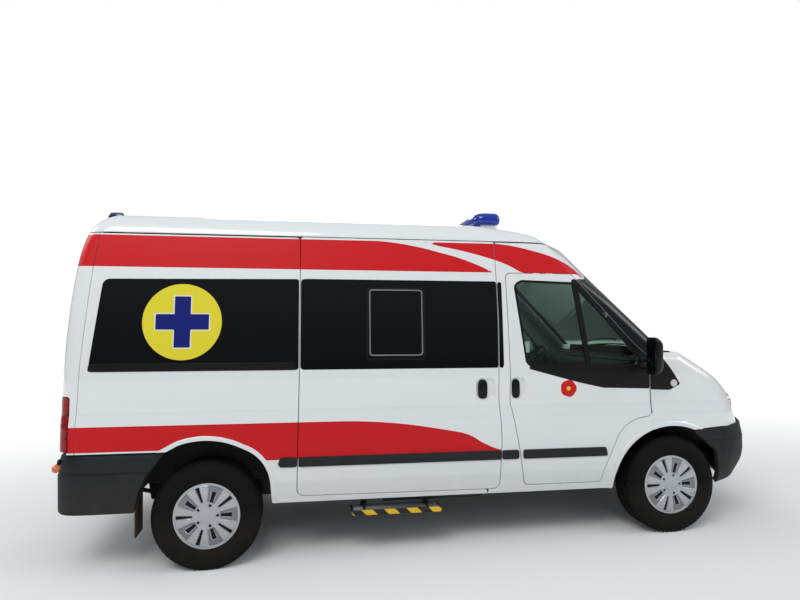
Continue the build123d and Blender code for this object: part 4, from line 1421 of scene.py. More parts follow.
FINISHES = {
    # Two-pack white body paint under clear lacquer: a hard clear gloss over an even white
    "white": Finish("two_pack_body_paint_white", "#D6DADC", 0.32, coat=1.0, mottle=0.02, grime=0.25),
    # The same paint in black, on the windscreen pillars and the door frames beside them
    "pillar_black": Finish("two_pack_paint_black", "#07080A", 0.30, ior=1.35, coat=0.25, mottle=0.02),
    # Cast vinyl film, red: even colour, softer gloss than the paint
    "red": Finish("cast_vinyl_film_red", "#BF1119", 0.42, ior=1.28, coat=0.06, coat_roughness=0.1, mottle=0.04,
                  grime=0.05),
    # Cast vinyl film, yellow, blue and white, for the round badge
    "yellow": Finish("cast_vinyl_film_yellow", "#D2C72E", 0.4, ior=1.3, coat=0.05, coat_roughness=0.1, mottle=0.04),
    "blue": Finish("cast_vinyl_film_blue", "#0E1A6A", 0.4, ior=1.25, coat=0.0, mottle=0.04),
    "pale": Finish("cast_vinyl_film_white", "#D5D6D4", 0.34, coat=0.4, coat_roughness=0.15, mottle=0.03),
    # Moulded polypropylene: dull dark grey with a fine leather grain, greyer where it has weathered
    "plastic": Finish("moulded_polypropylene_dark_grey", "#191C1F", 0.6, ior=1.36, grain_mm=2.4, grain_depth_mm=0.35,
                      mottle=0.18, mottle_mm=120, gloss_spread=0.14, grime=0.16),
    # Moulded ABS, black and satin, for mirrors, handles and trims
    "black": Finish("moulded_abs_black", "#08090A", 0.34, ior=1.32, grain_mm=1.6, grain_depth_mm=0.12, mottle=0.12),
    # EPDM rubber for seals: almost no gloss
    "seal": Finish("epdm_rubber_seal", "#080809", 0.72, ior=1.3, grain_mm=1.2, grain_depth_mm=0.1, mottle=0.1),
    # Ceramic frit fired on the glass edge: black with the glass's own gloss
    "frit": Finish("ceramic_frit_black", "#060708", 0.08, ior=1.4, coat=0.1, mottle=0.0, gloss_spread=0.0),
    # Toughened glass with a light green tint
    "glass": Finish("toughened_glass_green_tint", "#B4C9BF", 0.02, ior=1.45, transmission=1.0, mottle=0.0,
                    gloss_spread=0.0),
    # Privacy glass: nearly black, mirror gloss
    "privacy": Finish("privacy_glass_dark", "#05070A", 0.03, ior=1.36, mottle=0.0, gloss_spread=0.0),
    # Injection-moulded lamp covers, clear and coloured
    "lens": Finish("polycarbonate_lens_clear", "#E8EEF2", 0.02, ior=1.58, transmission=1.0, mottle=0.0,
                   gloss_spread=0.0),
    "lens_red": Finish("acrylic_lens_red", "#86090E", 0.16, ior=1.32, coat=0.15, mottle=0.12, mottle_mm=40,
                       gloss_spread=0.02),
    "lens_amber": Finish("acrylic_lens_amber", "#C8640F", 0.10, coat=1.0, mottle=0.1, mottle_mm=40),
    "lens_smoke": Finish("acrylic_lens_pale", "#C4C4C0", 0.10, coat=1.0, mottle=0.1, mottle_mm=40),
    "lens_blue": Finish("polycarbonate_dome_blue", "#0F2566", 0.07, coat=0.6, mottle=0.2, mottle_mm=50, glow=0.02),
    # Vacuum-metallised reflector bowls
    "reflector": Finish("metallised_reflector", "#D8DADC", 0.12, metallic=1.0, mottle=0.03, gloss_spread=0.03),
    # Silver wheel lacquer on a moulded cover: fine metallic flake
    "silver": Finish("silver_wheel_lacquer", "#B6BABE", 0.30, metallic=0.45, coat=0.5, coat_roughness=0.12,
                     mottle=0.06, mottle_mm=30, grime=0.12),
    # The same lacquer made darker for the cover's pocket floors: painted shade in its recesses, with road dirt on top
    "silver_pocket_shade": Finish("silver_wheel_lacquer_in_pockets", "#7E8287", 0.32, metallic=0.4, coat=0.3, mottle=0.1,
                          mottle_mm=30, grime=0.15),
    # Light bar covers that show their reflectors
    "lens_red_clear": Finish("polycarbonate_cover_red", "#B8141C", 0.05, ior=1.58, transmission=0.45, mottle=0.05,
                             gloss_spread=0.02, glow=0.04),
    "lens_blue_clear": Finish("polycarbonate_cover_blue", "#1437B4", 0.05, ior=1.58, transmission=0.45, mottle=0.05,
                              gloss_spread=0.02, glow=0.06),
    # Road tyre rubber: dull black, browner on the wall
    "tyre": Finish("vulcanised_tyre_rubber", "#0A0A0A", 0.8, ior=1.28, grain_mm=3.0, grain_depth_mm=0.25, mottle=0.25,
                   mottle_mm=60, grime=0.05, grime_top_m=0.4),
    # Frame, running gear and underside, dull and unevenly stained
    "chassis": Finish("chassis_black_enamel", "#121314", 0.6, grain_mm=4.0, grain_depth_mm=0.3, mottle=0.3,
                      grime=0.1),
    "floor": Finish("underbody_wax_dark", "#17181A", 0.75, grain_mm=6.0, grain_depth_mm=0.5, mottle=0.2, grime=0.1),
    "cast": Finish("raw_cast_iron", "#3A3836", 0.6, metallic=0.7, grain_mm=3.5, grain_depth_mm=0.5, mottle=0.35),
    "steel": Finish("dull_rolled_steel", "#6B6864", 0.5, metallic=0.9, grain_mm=5.0, grain_depth_mm=0.2, mottle=0.35),
    "alloy": Finish("chequered_aluminium", "#A7A9AA", 0.36, metallic=1.0, grain_mm=4.0, grain_depth_mm=0.2,
                    mottle=0.15),
    # The cab's mouldings, lining and textiles
    "trim": Finish("soft_grained_cab_trim", "#34363A", 0.62, grain_mm=2.0, grain_depth_mm=0.3, mottle=0.1),
    "headlining": Finish("pale_cab_lining", "#8C8F90", 0.8, grain_mm=2.5, grain_depth_mm=0.2, mottle=0.06),
    "cloth": Weave("woven_seat_cloth_dark", "#24272C", 0.85, grain_mm=3.0, grain_depth_mm=0.6, mottle=0.2),
    "belt": Weave("seat_belt_webbing", "#1A1A1B", 0.75, grain_mm=2.0, grain_depth_mm=0.3, thread_mm=2.0),
    # Dusty rubber, and the warning bars on the step's lip
    "mudflap": Finish("mud_flap_rubber", "#4A3B30", 0.8, grain_mm=5.0, grain_depth_mm=0.4, mottle=0.3),
    "hazard": Hazard("hazard_paint_bars", "#D8B21C", 0.5, mottle=0.1),
    # Anodised rails of the sliding vent, and the glass of the door mirrors
    "vent_metal": Finish("anodised_aluminium_rail", "#8C9196", 0.35, metallic=0.9, mottle=0.08),
    "mirror_glass": Finish("silvered_mirror_tinted", "#6A7076", 0.02, metallic=1.0, mottle=0.0, gloss_spread=0.0),
}


class Finishes:
    """Builds each finish the first time that a piece asks for it."""

    def __init__(self) -> None:
        """Start with none built."""
        self.made: dict[str, bpy.types.Material] = {}

    def get(self, *names: str) -> tuple:
        """Give the materials with these names.

        Args:
            *names: Keys of FINISHES.

        Returns:
            The materials, in that order.
        """
        for name in names:
            if name not in self.made:
                self.made[name] = FINISHES[name].build()
        return tuple(self.made[name] for name in names)


FINISH = Finishes()


SKIN = BodySkin()
GUTTER_Z = 2172.0
SILL_Z = 380.0
LIP = 32.0
CUPS = {"front": (2123.0, 1112.0, 56.0, 78.0), "slide": (1881.0, 1112.0, 74.0, 77.0)}


@dataclass(frozen=True)
class Drawing:
    """Outlines of doors, windows, lamps and colour bands, square to the axes named."""

    front_door: Loop = (
        (2160, 430), (2738, 430), (2762, 520), (2852, 712), (2935, 830, 3075, 888), (3137, 897), (3137, 1330),
        (3010, 1440), (2560, 1935), (2052, 1935), (2066, 1194), (2058, 1016), (2120, 710))
    slide_door: Loop = (
        (576, 422), (1976, 412), (1993, 752), (1976, 1031), (1986, 1592), (1976, 2166), (588, 2166), (586, 1189))
    front_window: Loop = (
        (2113, 1850), (2185, 1290), (2220, 1262), (3060, 1262), (3072, 1318), (2988, 1418), (2580, 1870),
        (2170, 1882))
    slide_window: Loop = ((650, 1262), (1925, 1262), (1925, 1872), (650, 1872))
    quarter_window: Loop = ((-741, 1256), (530, 1256), (530, 1868), (-672, 1852))
    front_arch: Loop = ((2832, 300), (2832, 350), (3300, 818, 3768, 350), (3768, 300))
    quarter_pane: Loop = ((-741, 1256), (580, 1256), (580, 1870), (-672, 1856))
    slide_pane: Loop = ((592, 1256), (1976, 1256), (1982, 1592), (1978, 1872), (592, 1872))
    pillar_pad: Loop = ((1984, 1256), (2018, 1256), (2018, 1868), (1985, 1868), (1990, 1592))
    pillar: Loop = (
        (2556, 1896), (2676, 1901), (2780, 1990), (3500, 1400), (3400, 1290), (3246, 1312), (3146, 1250),
        (2556, 1250))
    tail_post: Loop = (
        (-1200, 300), (-806, 300), (-800, 910), (-788, 1302), (-772, 1523), (-758, 1715), (-736, 1964), (-704, 2200),
        (-1200, 2200))
    rear_arch: Loop = (
        (420, 300), (402, 498), (335, 668, 221, 746), (29, 803, -180, 778), (-281, 724), (-420, 620), (-420, 300))
    lower_band: Loop = (
        (-1100, 752), (-1100, 911), (860, 911), (1190, 894, 1476, 855), (1600, 833, 1689, 816),
        (1775, 786, 1833, 750), (1940, 700, 2037, 672), (100, 666), (100, 752))
    upper_rear: Loop = (
        (-1100, 1937), (-1100, 2150), (1130, 2150), (1370, 2121, 1572, 2075), (1790, 2012, 1962, 1937))
    upper_front: Loop = (
        (1440, 2150), (1508, 2137, 1573, 2121), (1790, 2079, 1977, 2029), (2088, 1986, 2178, 1937), (2612, 1934),
        (2678, 1899), (2612, 1964, 2538, 2009), (2416, 2062, 2273, 2102), (2134, 2133, 1990, 2150))
    rear_pair: Loop = (
        (-838, 650), (838, 650), (838, 1500), (790, 2128), (-790, 2128), (-838, 1500))
    rear_window: Loop = ((150, 1290), (735, 1290), (715, 1850), (150, 1850))
    screen: Loop = ((-530, -772), (606, -866), (606, 866), (-530, 772))
    bonnet: Loop = (
        (-120, -790), (260, -800), (560, -650), (800, -600), (800, 600), (560, 650), (260, 800), (-120, 790))
    cowl: Loop = (
        (3330, -866), (3430, -866), (3430, -780), (3527, 0, 3430, 780), (3430, 866), (3330, 866))
    headlamp: Loop = (
        (600, 838), (872, 850), (884, 950), (870, 1066), (795, 1108), (690, 1050), (605, 985))
    grille: Loop = ((-584, 800), (584, 800), (574, 984), (-574, 984))
    bumper_top: Loop = ((3464, 784), (3830, 812), (4400, 840), (4400, 300), (3464, 300))


DRAWING = Drawing()


def sloped(x: float, z: float, slope_deg: float) -> Points:
    """A place and three axes (down the slope, across, out) for a zone on a sloping face."""
    s = math.radians(slope_deg)
    return np.array([[x, 0, z], [math.cos(s), 0, -math.sin(s)], [0, 1, 0], [math.sin(s), 0, math.cos(s)]])


class Zones:
    """The zones that part one panel from the next."""

    def __init__(self) -> None:
        """Draw every zone once."""
        d = DRAWING
        self.front_door = Zone(outline(d.front_door, 34))
        self.slide_door = Zone(outline(d.slide_door, [46, 46, 46, 46, 46, 9, 9, 46]))
        self.front_window = Zone(outline(d.front_window, 42))
        self.slide_window = Zone(outline(d.slide_window, 46))
        self.quarter_window = Zone(outline(d.quarter_window, 46))
        self.quarter_pane = Zone(outline(d.quarter_pane, [26, 14, 14, 46]))
        self.slide_pane = Zone(outline(d.slide_pane, [22, 4, 0, 4, 22]))
        self.pillar_pad = Zone(outline(d.pillar_pad, [0, 14, 10, 0, 0]))
        self.tail_post = Zone(outline(d.tail_post))
        self.pillar = Zone(outline(d.pillar, 12))
        self.front_arch = Zone(outline(d.front_arch))
        self.arches = AnyOf([self.front_arch, Zone(outline(d.rear_arch, 30))])
        self.rear_face = Region([Zone(outline(d.rear_pair, 40), (1, 2)), Cut(0, -600)])
        self.rear_windows = {s: Region([Zone(outline(handed(d.rear_window, s), 42), (1, 2)), Cut(0, -600)])
                             for s in Side}
        self.screen = Region([Zone(outline(d.screen, 60), (0, 1), sloped(*SCREEN_FACE)), Cut(2, 1364, False),
                              Cut(2, 2150), Cut(0, 2500, False)])
        self.bonnet = Region([Zone(outline(d.bonnet, 40), (0, 1), sloped(*BONNET_FACE)), Cut(0, 3440, False),
                              Cut(2, 988, False)])
        self.cowl = Region([Zone(outline(d.cowl, 20), (0, 1)), Cut(2, 1250, False), Cut(2, 1368)])
        self.roof = AnyOf([Region([Cut(2, GUTTER_Z, False), Cut(0, 2900)]),
                           Region([Cut(0, -650), Cut(1, 800, both=True), Cut(2, 2080, False)])])
        self.headlamps = {s: Region([Zone(outline(handed(d.headlamp, s), 30), (1, 2)), Cut(0, 3600, False)])
                          for s in Side}
        self.grille = Region([Zone(outline(d.grille, 24), (1, 2)), Cut(0, 3800, False)])
        self.bumper_front = Zone(outline(d.bumper_top, 20))
        self.bumper_rear = Region([Cut(0, -268), Cut(2, 738)])
        self.tail_lamp = Region([Zone(box(-1200, 754, -843, 1098, 14)), Cut(1, 856, False, True)])
        bands = AnyOf([Zone(outline(rows, step=16)) for rows in (d.lower_band, d.upper_rear, d.upper_front)])
        self.bands = Region([bands], [self.arches], LIP)
        self.lips = Region((), [self.arches], LIP)
        self.flare = Region((), [self.front_arch], 78)
        self.cups = {name: Zone(self.cup_loop(*row, 1.0)) for name, row in CUPS.items()}
        self.cup_floors = {name: Zone(self.cup_loop(*row, 0.74)) for name, row in CUPS.items()}

    @staticmethod
    def cup_loop(x: float, z: float, wide: float, high: float, share: float) -> Points:
        """The rounded rectangle of a handle cup, or of its floor.

        Args:
            x: Middle along the van.
            z: Middle above the ground.
            wide: Half width.
            high: Half height.
            share: Share of that size.

        Returns:
            The loop.
        """
        a = around(72)
        c, s = np.cos(a), np.sin(a)
        return np.column_stack([x + share * wide * np.sign(c) * np.abs(c) ** 0.5,
                                z + share * high * np.sign(s) * np.abs(s) ** 0.5])

    def half(self, side: Side, inner: float = 500.0) -> Cut:
        """Everything on one side of the van, from so far off its middle."""
        return Cut(1, inner * side.value, side is Side.RIGHT)


def handed(rows: Loop, side: Side) -> Loop:
    """An outline across the van, for one side."""
    return [tuple(side.value * v if k % 2 == 0 else v for k, v in enumerate(row)) for row in rows]


@dataclass
class Shell:
    """The painted steel: roof, sides, wings, bonnet and doors."""

    zones: Zones = field(default_factory=Zones)
    skin: SkinMesh = field(default_factory=lambda: SkinMesh.over(SKIN, (-420, 3420), (300, 1000)))
    finishes: tuple = ("white", "red", "pillar_black")

    def piece(self, name: str, body: str, meshes: Sequence[Mesh], nodes: Sequence[str]) -> bpy.types.Object:
        """Join meshes into one painted piece.

        Args:
            name: Name of the piece.
            body: The body it rides on.
            meshes: What it is made of.
            nodes: The nodes it stands for.

        Returns:
            The object.
        """
        return Piece(name, body, FINISH.get(*self.finishes), tuple(nodes), "white_paint").make(together(*meshes))

    def lipped(self, p: Points) -> np.ndarray:
        """How far the sheet stands out beside the wheel arches: a lip, and a flare over the front wheel.

        Args:
            p: Points of the skin.

        Returns:
            A height for each.
        """
        lip = ease((LIP + 5 - self.zones.arches.value(p)) / 10)
        flare = ease((82 - self.zones.front_arch.value(p)) / 70)
        return 5.0 * lip + 5.0 * flare

    def lipped_base(self, base: SkinMesh) -> SkinMesh:
        """Finer triangles along the lips, so that they read as pressed steel.

        Args:
            base: The sheet's base.

        Returns:
            The base with the lips' edges in it.
        """
        z = self.zones
        for region in (z.lips, Region((), [z.arches], LIP - 10), z.flare, Region((), [z.front_arch], 48)):
            base = base.cut(region, 0)
        return base

    def cupped(self, name: str) -> Callable:
        """How deep the recess behind a door handle is at each point.

        Args:
            name: Which cup.

        Returns:
            A form for the sheet, lips included.
        """
        x, z, wide, high = CUPS[name]

        def shape(p: Points) -> np.ndarray:
            """The recess, on top of the lips beside the arches."""
            reach = (np.abs((p[:, 0] - x) / wide) ** 4 + np.abs((p[:, 2] - z) / high) ** 4) ** 0.25
            return -12.0 * ease((1.0 - reach) / 0.26) + self.lipped(p)

        return shape

    def side(self, side: Side) -> bpy.types.Object:
        """One body side, from the tail post to the windscreen pillar.

        Args:
            side: Which side of the van.

        Returns:
            The object.
        """
        z = self.zones
        doors = [z.front_door] + ([z.slide_door] if side is Side.RIGHT else [])
        glass = [z.quarter_window] + ([z.slide_window] if side is Side.LEFT else [])
        front = AnyOf([Cut(0, 3145), Cut(2, BONNET_TOP_Z, False)])
        top = AnyOf([Region([Cut(2, GUTTER_Z - 3), Cut(0, 2410, False)]), Cut(2, GUTTER_Z - 15)])
        region = Region([z.half(side), Cut(2, SILL_Z + 3, False), top, front],
                        [z.rear_face, z.roof, z.screen, z.cowl, z.arches, z.bumper_rear, z.tail_lamp, *doors], 5.5)
        base = self.skin.cut(region)
        for hole in glass:
            base = base.cut(Region((), [hole], 0))
        base = self.lipped_base(base).cut(z.bands, 1).cut(z.pillar, 2)
        parts = [base.cut(part) for part in (Region([z.tail_post], grow=-3.8), Region((), [z.tail_post], 3.8))]
        return self.piece(f"body_side_{side.tag}", "body", [Sheet(part, shape=self.lipped).mesh() for part in parts],
                          [f"body_side_{side.tag}"])

    def roof(self) -> bpy.types.Object:
        """The roof with both headers.

        Returns:
            The object.
        """
        z = self.zones
        base = self.skin.cut(Region([z.roof], [z.rear_face, z.screen], 4))
        return self.piece("roof", "body", [Sheet(base).mesh()], ["roof"])

    def wing(self, side: Side) -> bpy.types.Object:
        """One front wing, round the headlamp and over the arch.

        Args:
            side: Which side of the van.

        Returns:
            The object.
        """
        z = self.zones
        region = Region([z.half(side, 566), Cut(0, 3150, False), Cut(2, 1355), Cut(2, SILL_Z, False)],
                        [z.bonnet, z.cowl, z.arches, z.bumper_front, z.headlamps[side], z.grille], 4)
        base = self.lipped_base(self.skin.cut(region))
        return self.piece(f"front_wing_{side.tag}", "body", [Sheet(base, shape=self.lipped).mesh()],
                          [f"front_wing_{side.tag}"])

    def bonnet(self) -> bpy.types.Object:
        """The bonnet.

        Returns:
            The object.
        """
        base = self.skin.cut(Region([self.zones.bonnet], [self.zones.cowl], 6))
        return self.piece("bonnet", "bonnet_lid", [Sheet(base, depth=22).mesh()], ["bonnet"])

    def front_door(self, side: Side) -> bpy.types.Object:
        """One front door.

        Args:
            side: Which side of the van.

        Returns:
            The object.
        """
        z = self.zones
        base = self.skin.cut(Region([z.half(side), z.front_door], [z.front_window], 0, -4.5))
        base = self.lipped_base(base.cut(z.cups["front"], 0).cut(z.cup_floors["front"], 0))
        base = base.cut(z.bands, 1).cut(z.pillar, 2)
        return self.piece(f"front_door_{side.tag}", f"door_front_{side.tag}",
                          [Sheet(base, depth=44, shape=self.cupped("front")).mesh()], [f"front_door_{side.tag}"])

    def sliding_door(self) -> bpy.types.Object:
        """The sliding door on the right.

        Returns:
            The object.
        """
        z = self.zones
        base = self.skin.cut(Region([z.half(Side.RIGHT), z.slide_door], [z.slide_window], 0, -4.5))
        base = base.cut(z.cups["slide"], 0).cut(z.cup_floors["slide"], 0).cut(z.bands, 1)
        return self.piece("sliding_door", "body", [Sheet(base, depth=44, shape=self.cupped("slide")).mesh()],
                          ["sliding_door"])

    def rear_door(self, side: Side) -> bpy.types.Object:
        """One rear door.

        Args:
            side: Which side of the van.

        Returns:
            The object.
        """
        z = self.zones
        base = self.skin.cut(Region([z.half(side, 2), z.rear_face], [z.rear_windows[side]], 0, -4))
        base = base.cut(z.bands, 1)
        return self.piece(f"rear_door_{side.tag}", f"door_rear_{side.tag}", [Sheet(base, depth=44).mesh()],
                          [f"rear_door_{side.tag}"])

    def build(self) -> None:
        """Make every panel."""
        self.roof()
        self.bonnet()
        self.sliding_door()
        for side in Side:
            self.side(side)
            self.wing(side)
            self.front_door(side)
            self.rear_door(side)


@dataclass
class Glazing:
    """Windows with their seals, bars and the round badge."""

    zones: Zones
    skin: SkinMesh
    badge_at: tuple[float, float] = (-173.0, 1576.0)
    badge_radius: float = 250.0
    arm: tuple[float, float] = (102.0, 168.0)
    pane: float = 5.0
    proud: float = 1.2

    def cross(self, margin: float) -> Zone:
        """The plain upright cross in the middle of the badge.

        Args:
            margin: How far it is grown.

        Returns:
            Its zone.
        """
        x, z = self.badge_at
        w, h = self.arm[0] / 2 + margin, self.arm[1] + margin
        return Zone(outline([(x - w, z - h), (x + w, z - h), (x + w, z - w), (x + h, z - w), (x + h, z + w),
                             (x + w, z + w), (x + w, z + h), (x - w, z + h), (x - w, z + w), (x - h, z + w),
                             (x - h, z - w), (x - w, z - w)]))

    def ring(self, side: Side, zone: Zone, wide: float, out: float) -> Mesh:
        """A rubber ring along the edge of a window, in the second finish.

        Args:
            side: Which side of the van.
            zone: The window.
            wide: How wide the ring is.
            out: How far it reaches outside the window.

        Returns:
            The ring.
        """
        base = self.skin.cut(Region([self.zones.half(side), zone], grow=out))
        base = base.cut(Region((), [zone], out - wide), None, 12.0)
        return Sheet(base, roll=1.5, depth=12, lift=0.6).mesh().painted(1)

    def side_glass(self) -> bpy.types.Object:
        """The four dark side windows, with their lower bars, sliding vents and badges.

        Returns:
            The object.
        """
        z = self.zones
        whole = Mesh()
        for side in Side:
            for zone, badge in ((z.quarter_pane, True), (z.slide_pane, False), (z.pillar_pad, False)):
                base = self.skin.cut(Region([z.half(side), zone], grow=-1))
                if badge:
                    base = base.cut(Zone(circle(self.badge_radius, self.badge_at, 90)), 1)
                    base = base.cut(self.cross(7), 2, 8.0).cut(self.cross(0), 3, 8.0)
                whole.join(Sheet(base, roll=1.2, depth=self.pane, lift=self.proud).mesh())
            low = Zone(outline([(-738, 1258), (559, 1258), (559, 1304), (-735, 1304)], 8))
            bar = self.skin.cut(Region([z.half(side), low]))
            whole.join(Sheet(bar, roll=3, depth=6, lift=5).mesh().painted(5)).join(self.vent(side))
        names = ("privacy", "yellow", "pale", "blue", "seal", "black", "vent_metal")
        return Piece("side_glass", "body", FINISH.get(*names), ("side_glass",), "privacy_glass").make(whole)

    def vent(self, side: Side) -> Mesh:
        """The framed pane that slides: a dark outer frame and a thin metal one inside it.

        Args:
            side: Which side of the van.

        Returns:
            Both frames.
        """
        z = self.zones
        whole = Mesh()
        for x0, x1, z0, z1, wide, finish in ((1038, 1450, 1316, 1818, 12, 4), (1059, 1433, 1346, 1804, 7, 6)):
            base = self.skin.cut(Region([z.half(side), Zone(box(x0, z0, x1, z1, 22))]), None, 11.0)
            inner = Zone(box(x0 + wide, z0 + wide, x1 - wide, z1 - wide, 14))
            base = base.cut(Region((), [inner]), None, 11.0)
            whole.join(Sheet(base, roll=1.5, depth=5, lift=4.5).mesh().painted(finish))
        return whole

    def door_glass(self, side: Side) -> bpy.types.Object:
        """A front door's window, with the post that parts off its corner.

        Args:
            side: Which side of the van.

        Returns:
            The object.
        """
        z = self.zones
        base = self.skin.cut(Region([z.half(side), z.front_window], grow=-2))
        whole = Sheet(base, roll=1.0, depth=3.2, lift=-3).mesh()
        whole.join(self.ring(side, z.front_window, 13, 3))
        post = Zone(outline([(2645, 1262), (2679, 1262), (2598, 1890), (2558, 1890)], 3))
        bar = self.skin.cut(Region([z.half(side), post, z.front_window]), None, 11.0)
        whole.join(Sheet(bar, roll=2, depth=14, lift=1).mesh().painted(1))
        return Piece(f"door_glass_{side.tag}", f"door_front_{side.tag}", FINISH.get("glass", "seal"),
                     (f"door_glass_{side.tag}",), "clear_glass").make(whole)

    def windscreen(self) -> bpy.types.Object:
        """The windscreen with a fired black edge.

        Returns:
            The object.
        """
        z = self.zones
        clear = outline([(-470, -722), (548, -806), (548, 806), (-470, 722)], 60)
        view = Region([Zone(clear, (0, 1), sloped(*SCREEN_FACE)), Cut(0, 2500, False)])
        base = self.skin.cut(Region([z.screen], grow=-3))
        edge = Sheet(base.cut(Region((), [view])), roll=1.0, depth=5, lift=-1).mesh().painted(1)
        pane = Sheet(base.cut(view), roll=0.3, depth=5, lift=-1).mesh()
        return Piece("windscreen", "body", FINISH.get("glass", "frit"), ("windscreen",), "clear_glass").make(
            together(pane, edge))

    def rear_glass(self, side: Side) -> bpy.types.Object:
        """The dark window of one rear door.

        Args:
            side: Which side of the van.

        Returns:
            The object.
        """
        zone = self.zones.rear_windows[side]
        base = self.skin.cut(Region([zone], grow=-3))
        pane = Sheet(base, roll=1.2, depth=self.pane, lift=-1.5).mesh()
        return Piece(f"rear_glass_{side.tag}", f"door_rear_{side.tag}", FINISH.get("privacy", "seal"),
                     (f"rear_glass_{side.tag}",), "privacy_glass").make(
                         together(pane, self.ring(side, zone, 15, 4)))

    def build(self) -> None:
        """Make every window."""
        self.side_glass()
        self.windscreen()
        for side in Side:
            self.door_glass(side)
            self.rear_glass(side)


@dataclass
class Trim:
    """Plastic and small parts on the skin: strips, sweeps, handles, steps and lips."""

    zones: Zones
    skin: SkinMesh
    strip: tuple[float, float] = (621.0, 678.0)
    strip_out: float = 12.0
    repeater: tuple[float, float, float] = (3329.0, 1130.0, 25.0)
    rosette_at: tuple[float, float] = (2500.0, 1103.0)

    def on_skin(self, region: object, lift: float, depth: float, roll: float = 3.0, finish: int = 0,
                fine: float = 12.0, shape: Callable | None = None) -> Mesh:
        """A pad that lies on the skin.

        Args:
            region: Where it lies.
            lift: How far its face stands out.
            depth: How deep its walls reach back.
            roll: How far its edges are rounded.
            finish: Finish number.
            fine: Length of the triangles' edges near its rim.
            shape: A form on its face, if it has one.

        Returns:
            The closed pad.
        """
        return Sheet(self.skin.cut(region, None, fine), roll, depth, lift, shape).mesh().painted(finish)

    def strip_part(self, side: Side, x0: float, x1: float, nose: bool = False, tail: bool = False) -> Mesh:
        """One length of rub strip.

        Args:
            side: Which side of the van.
            x0: Rear end.
            x1: Front end.
            nose: Whether the front end is cut slanting.
            tail: Whether the rear end is pointed.

        Returns:
            The strip.
        """
        z0, z1 = self.strip
        back = x0 + (15 if tail else 0)
        rows = [(back, z0), (x1, z0), (x1 - (13 if nose else 0), z1), (back, z1)]
        if tail:
            rows.append((x0, (z0 + z1) / 2 - 10))

        def crest(p: Points) -> np.ndarray:
            """The strip's rounded middle."""
            return 3.0 * np.cos(np.clip((p[:, 2] - 650) / 30, -1, 1) * QUARTER_TURN)

        return self.on_skin(Region([self.zones.half(side), Zone(outline(rows, 5))]), self.strip_out - 3, 10, 4,
                            shape=crest)

    def strips(self) -> None:
        """Rub strips along both sides and on the doors."""
        body = Mesh()
        for side in Side:
            body.join(self.strip_part(side, 455, 571, tail=True)).join(self.strip_part(side, 589, 1984))
            body.join(self.strip_part(side, 1998, 2112))
            door = self.strip_part(side, 2152, 2783, nose=True)
            Piece(f"rub_strip_door_{side.tag}", f"door_front_{side.tag}", FINISH.get("plastic"),
                  (f"rub_strip_door_{side.tag}",), "bumper_plastic").make(door)
        Piece("rub_strips_body", "body", FINISH.get("plastic"), ("rub_strips_body",), "bumper_plastic").make(body)

    def sweep(self, side: Side) -> None:
        """The black panel below the door window, which runs on to a point on the wing.

        Args:
            side: Which side of the van.
        """
        z = self.zones
        rows = [(2182, 1276), (2212, 1240), (2406, 1188), (2590, 1140, 2774, 1100), (3102, 1090), (3294, 1082),
                (3378, 1122), (3312, 1230, 3246, 1314), (3170, 1332), (3146, 1268), (2200, 1270)]
        shape = Zone(outline(rows, 14))
        door = self.on_skin(Region([z.half(side), shape, z.front_door], grow=-6), 2.5, 8, 3)
        Piece(f"sweep_door_{side.tag}", f"door_front_{side.tag}", FINISH.get("black"), (), "black_plastic").make(door)
        wing = self.on_skin(Region([z.half(side), shape, Cut(0, 3150, False)]), 2.5, 8, 3)
        x, level, radius = self.repeater

        def dome(p: Points) -> np.ndarray:
            """The side lamp's rounded face."""
            return 5 * np.clip(1 - np.hypot(p[:, 0] - x, p[:, 2] - level) ** 2 / radius**2, 0, 1)

        lamp = self.on_skin(Region([z.half(side), Zone(circle(radius, (x, level), 36))]), 7, 8, 3, 1, shape=dome)
        Piece(f"sweep_wing_{side.tag}", "body", FINISH.get("black", "lens_smoke"), (), "black_plastic").make(
            together(wing, lamp))

    def handle(self, name: str, body: str, side: Side, x: float, z: float, wide: float) -> None:
        """An upright black pull that stands in its cup, thicker in the middle.

        Args:
            name: Name of the piece.
            body: The body it rides on.
            side: Which side of the van.
            x: Middle of the pull along the van.
            z: Middle of the pull above the ground.
            wide: How wide it is in the middle.
        """
        rings = []
        for level, share in ((-66, 0.3), (-62, 0.62), (-52, 0.86), (-34, 0.98), (0, 1.0), (34, 0.98), (52, 0.86),
                             (62, 0.62), (66, 0.3)):
            y = -float(SKIN.half_at(np.array([z + level]))[0])
            bow = 13.0 * math.cos(level / 66 * 1.35) ** 0.5
            a = around(28)
            c, s = np.cos(a), np.sin(a)
            across = wide / 2 * share * np.sign(c) * np.abs(c) ** 0.7
            out = np.where(s > 0, bow * np.abs(s) ** 0.6, -9.0 * np.abs(s) ** 0.6)
            rings.append(np.column_stack([x + across, y - out, np.full(28, z + level)]))
        mesh = loft(rings)
        if side is Side.LEFT:
            mesh = mesh.mirrored()
        Piece(name, body, FINISH.get("black"), (), "black_plastic").make(mesh)

    def rosette(self) -> None:
        """The small round sticker on the right front door: a red flower with a yellow middle."""
        x, z = self.rosette_at
        a = around(120)
        r = 55 + 6 * np.sqrt(np.abs(np.cos(2.5 * a)))
        flower = np.column_stack([x + r * np.cos(a), z + r * np.sin(a)])
        base = self.skin.cut(Region([self.zones.half(Side.RIGHT), Zone(flower)]), None, 4.0)
        base = base.cut(Zone(circle(15, self.rosette_at, 32)), 1, 2.5)
        Piece("rosette", "door_front_right", FINISH.get("red", "yellow"), (), "white_paint").make(
            Sheet(base, roll=0.3, depth=1.2, lift=1.0).mesh())

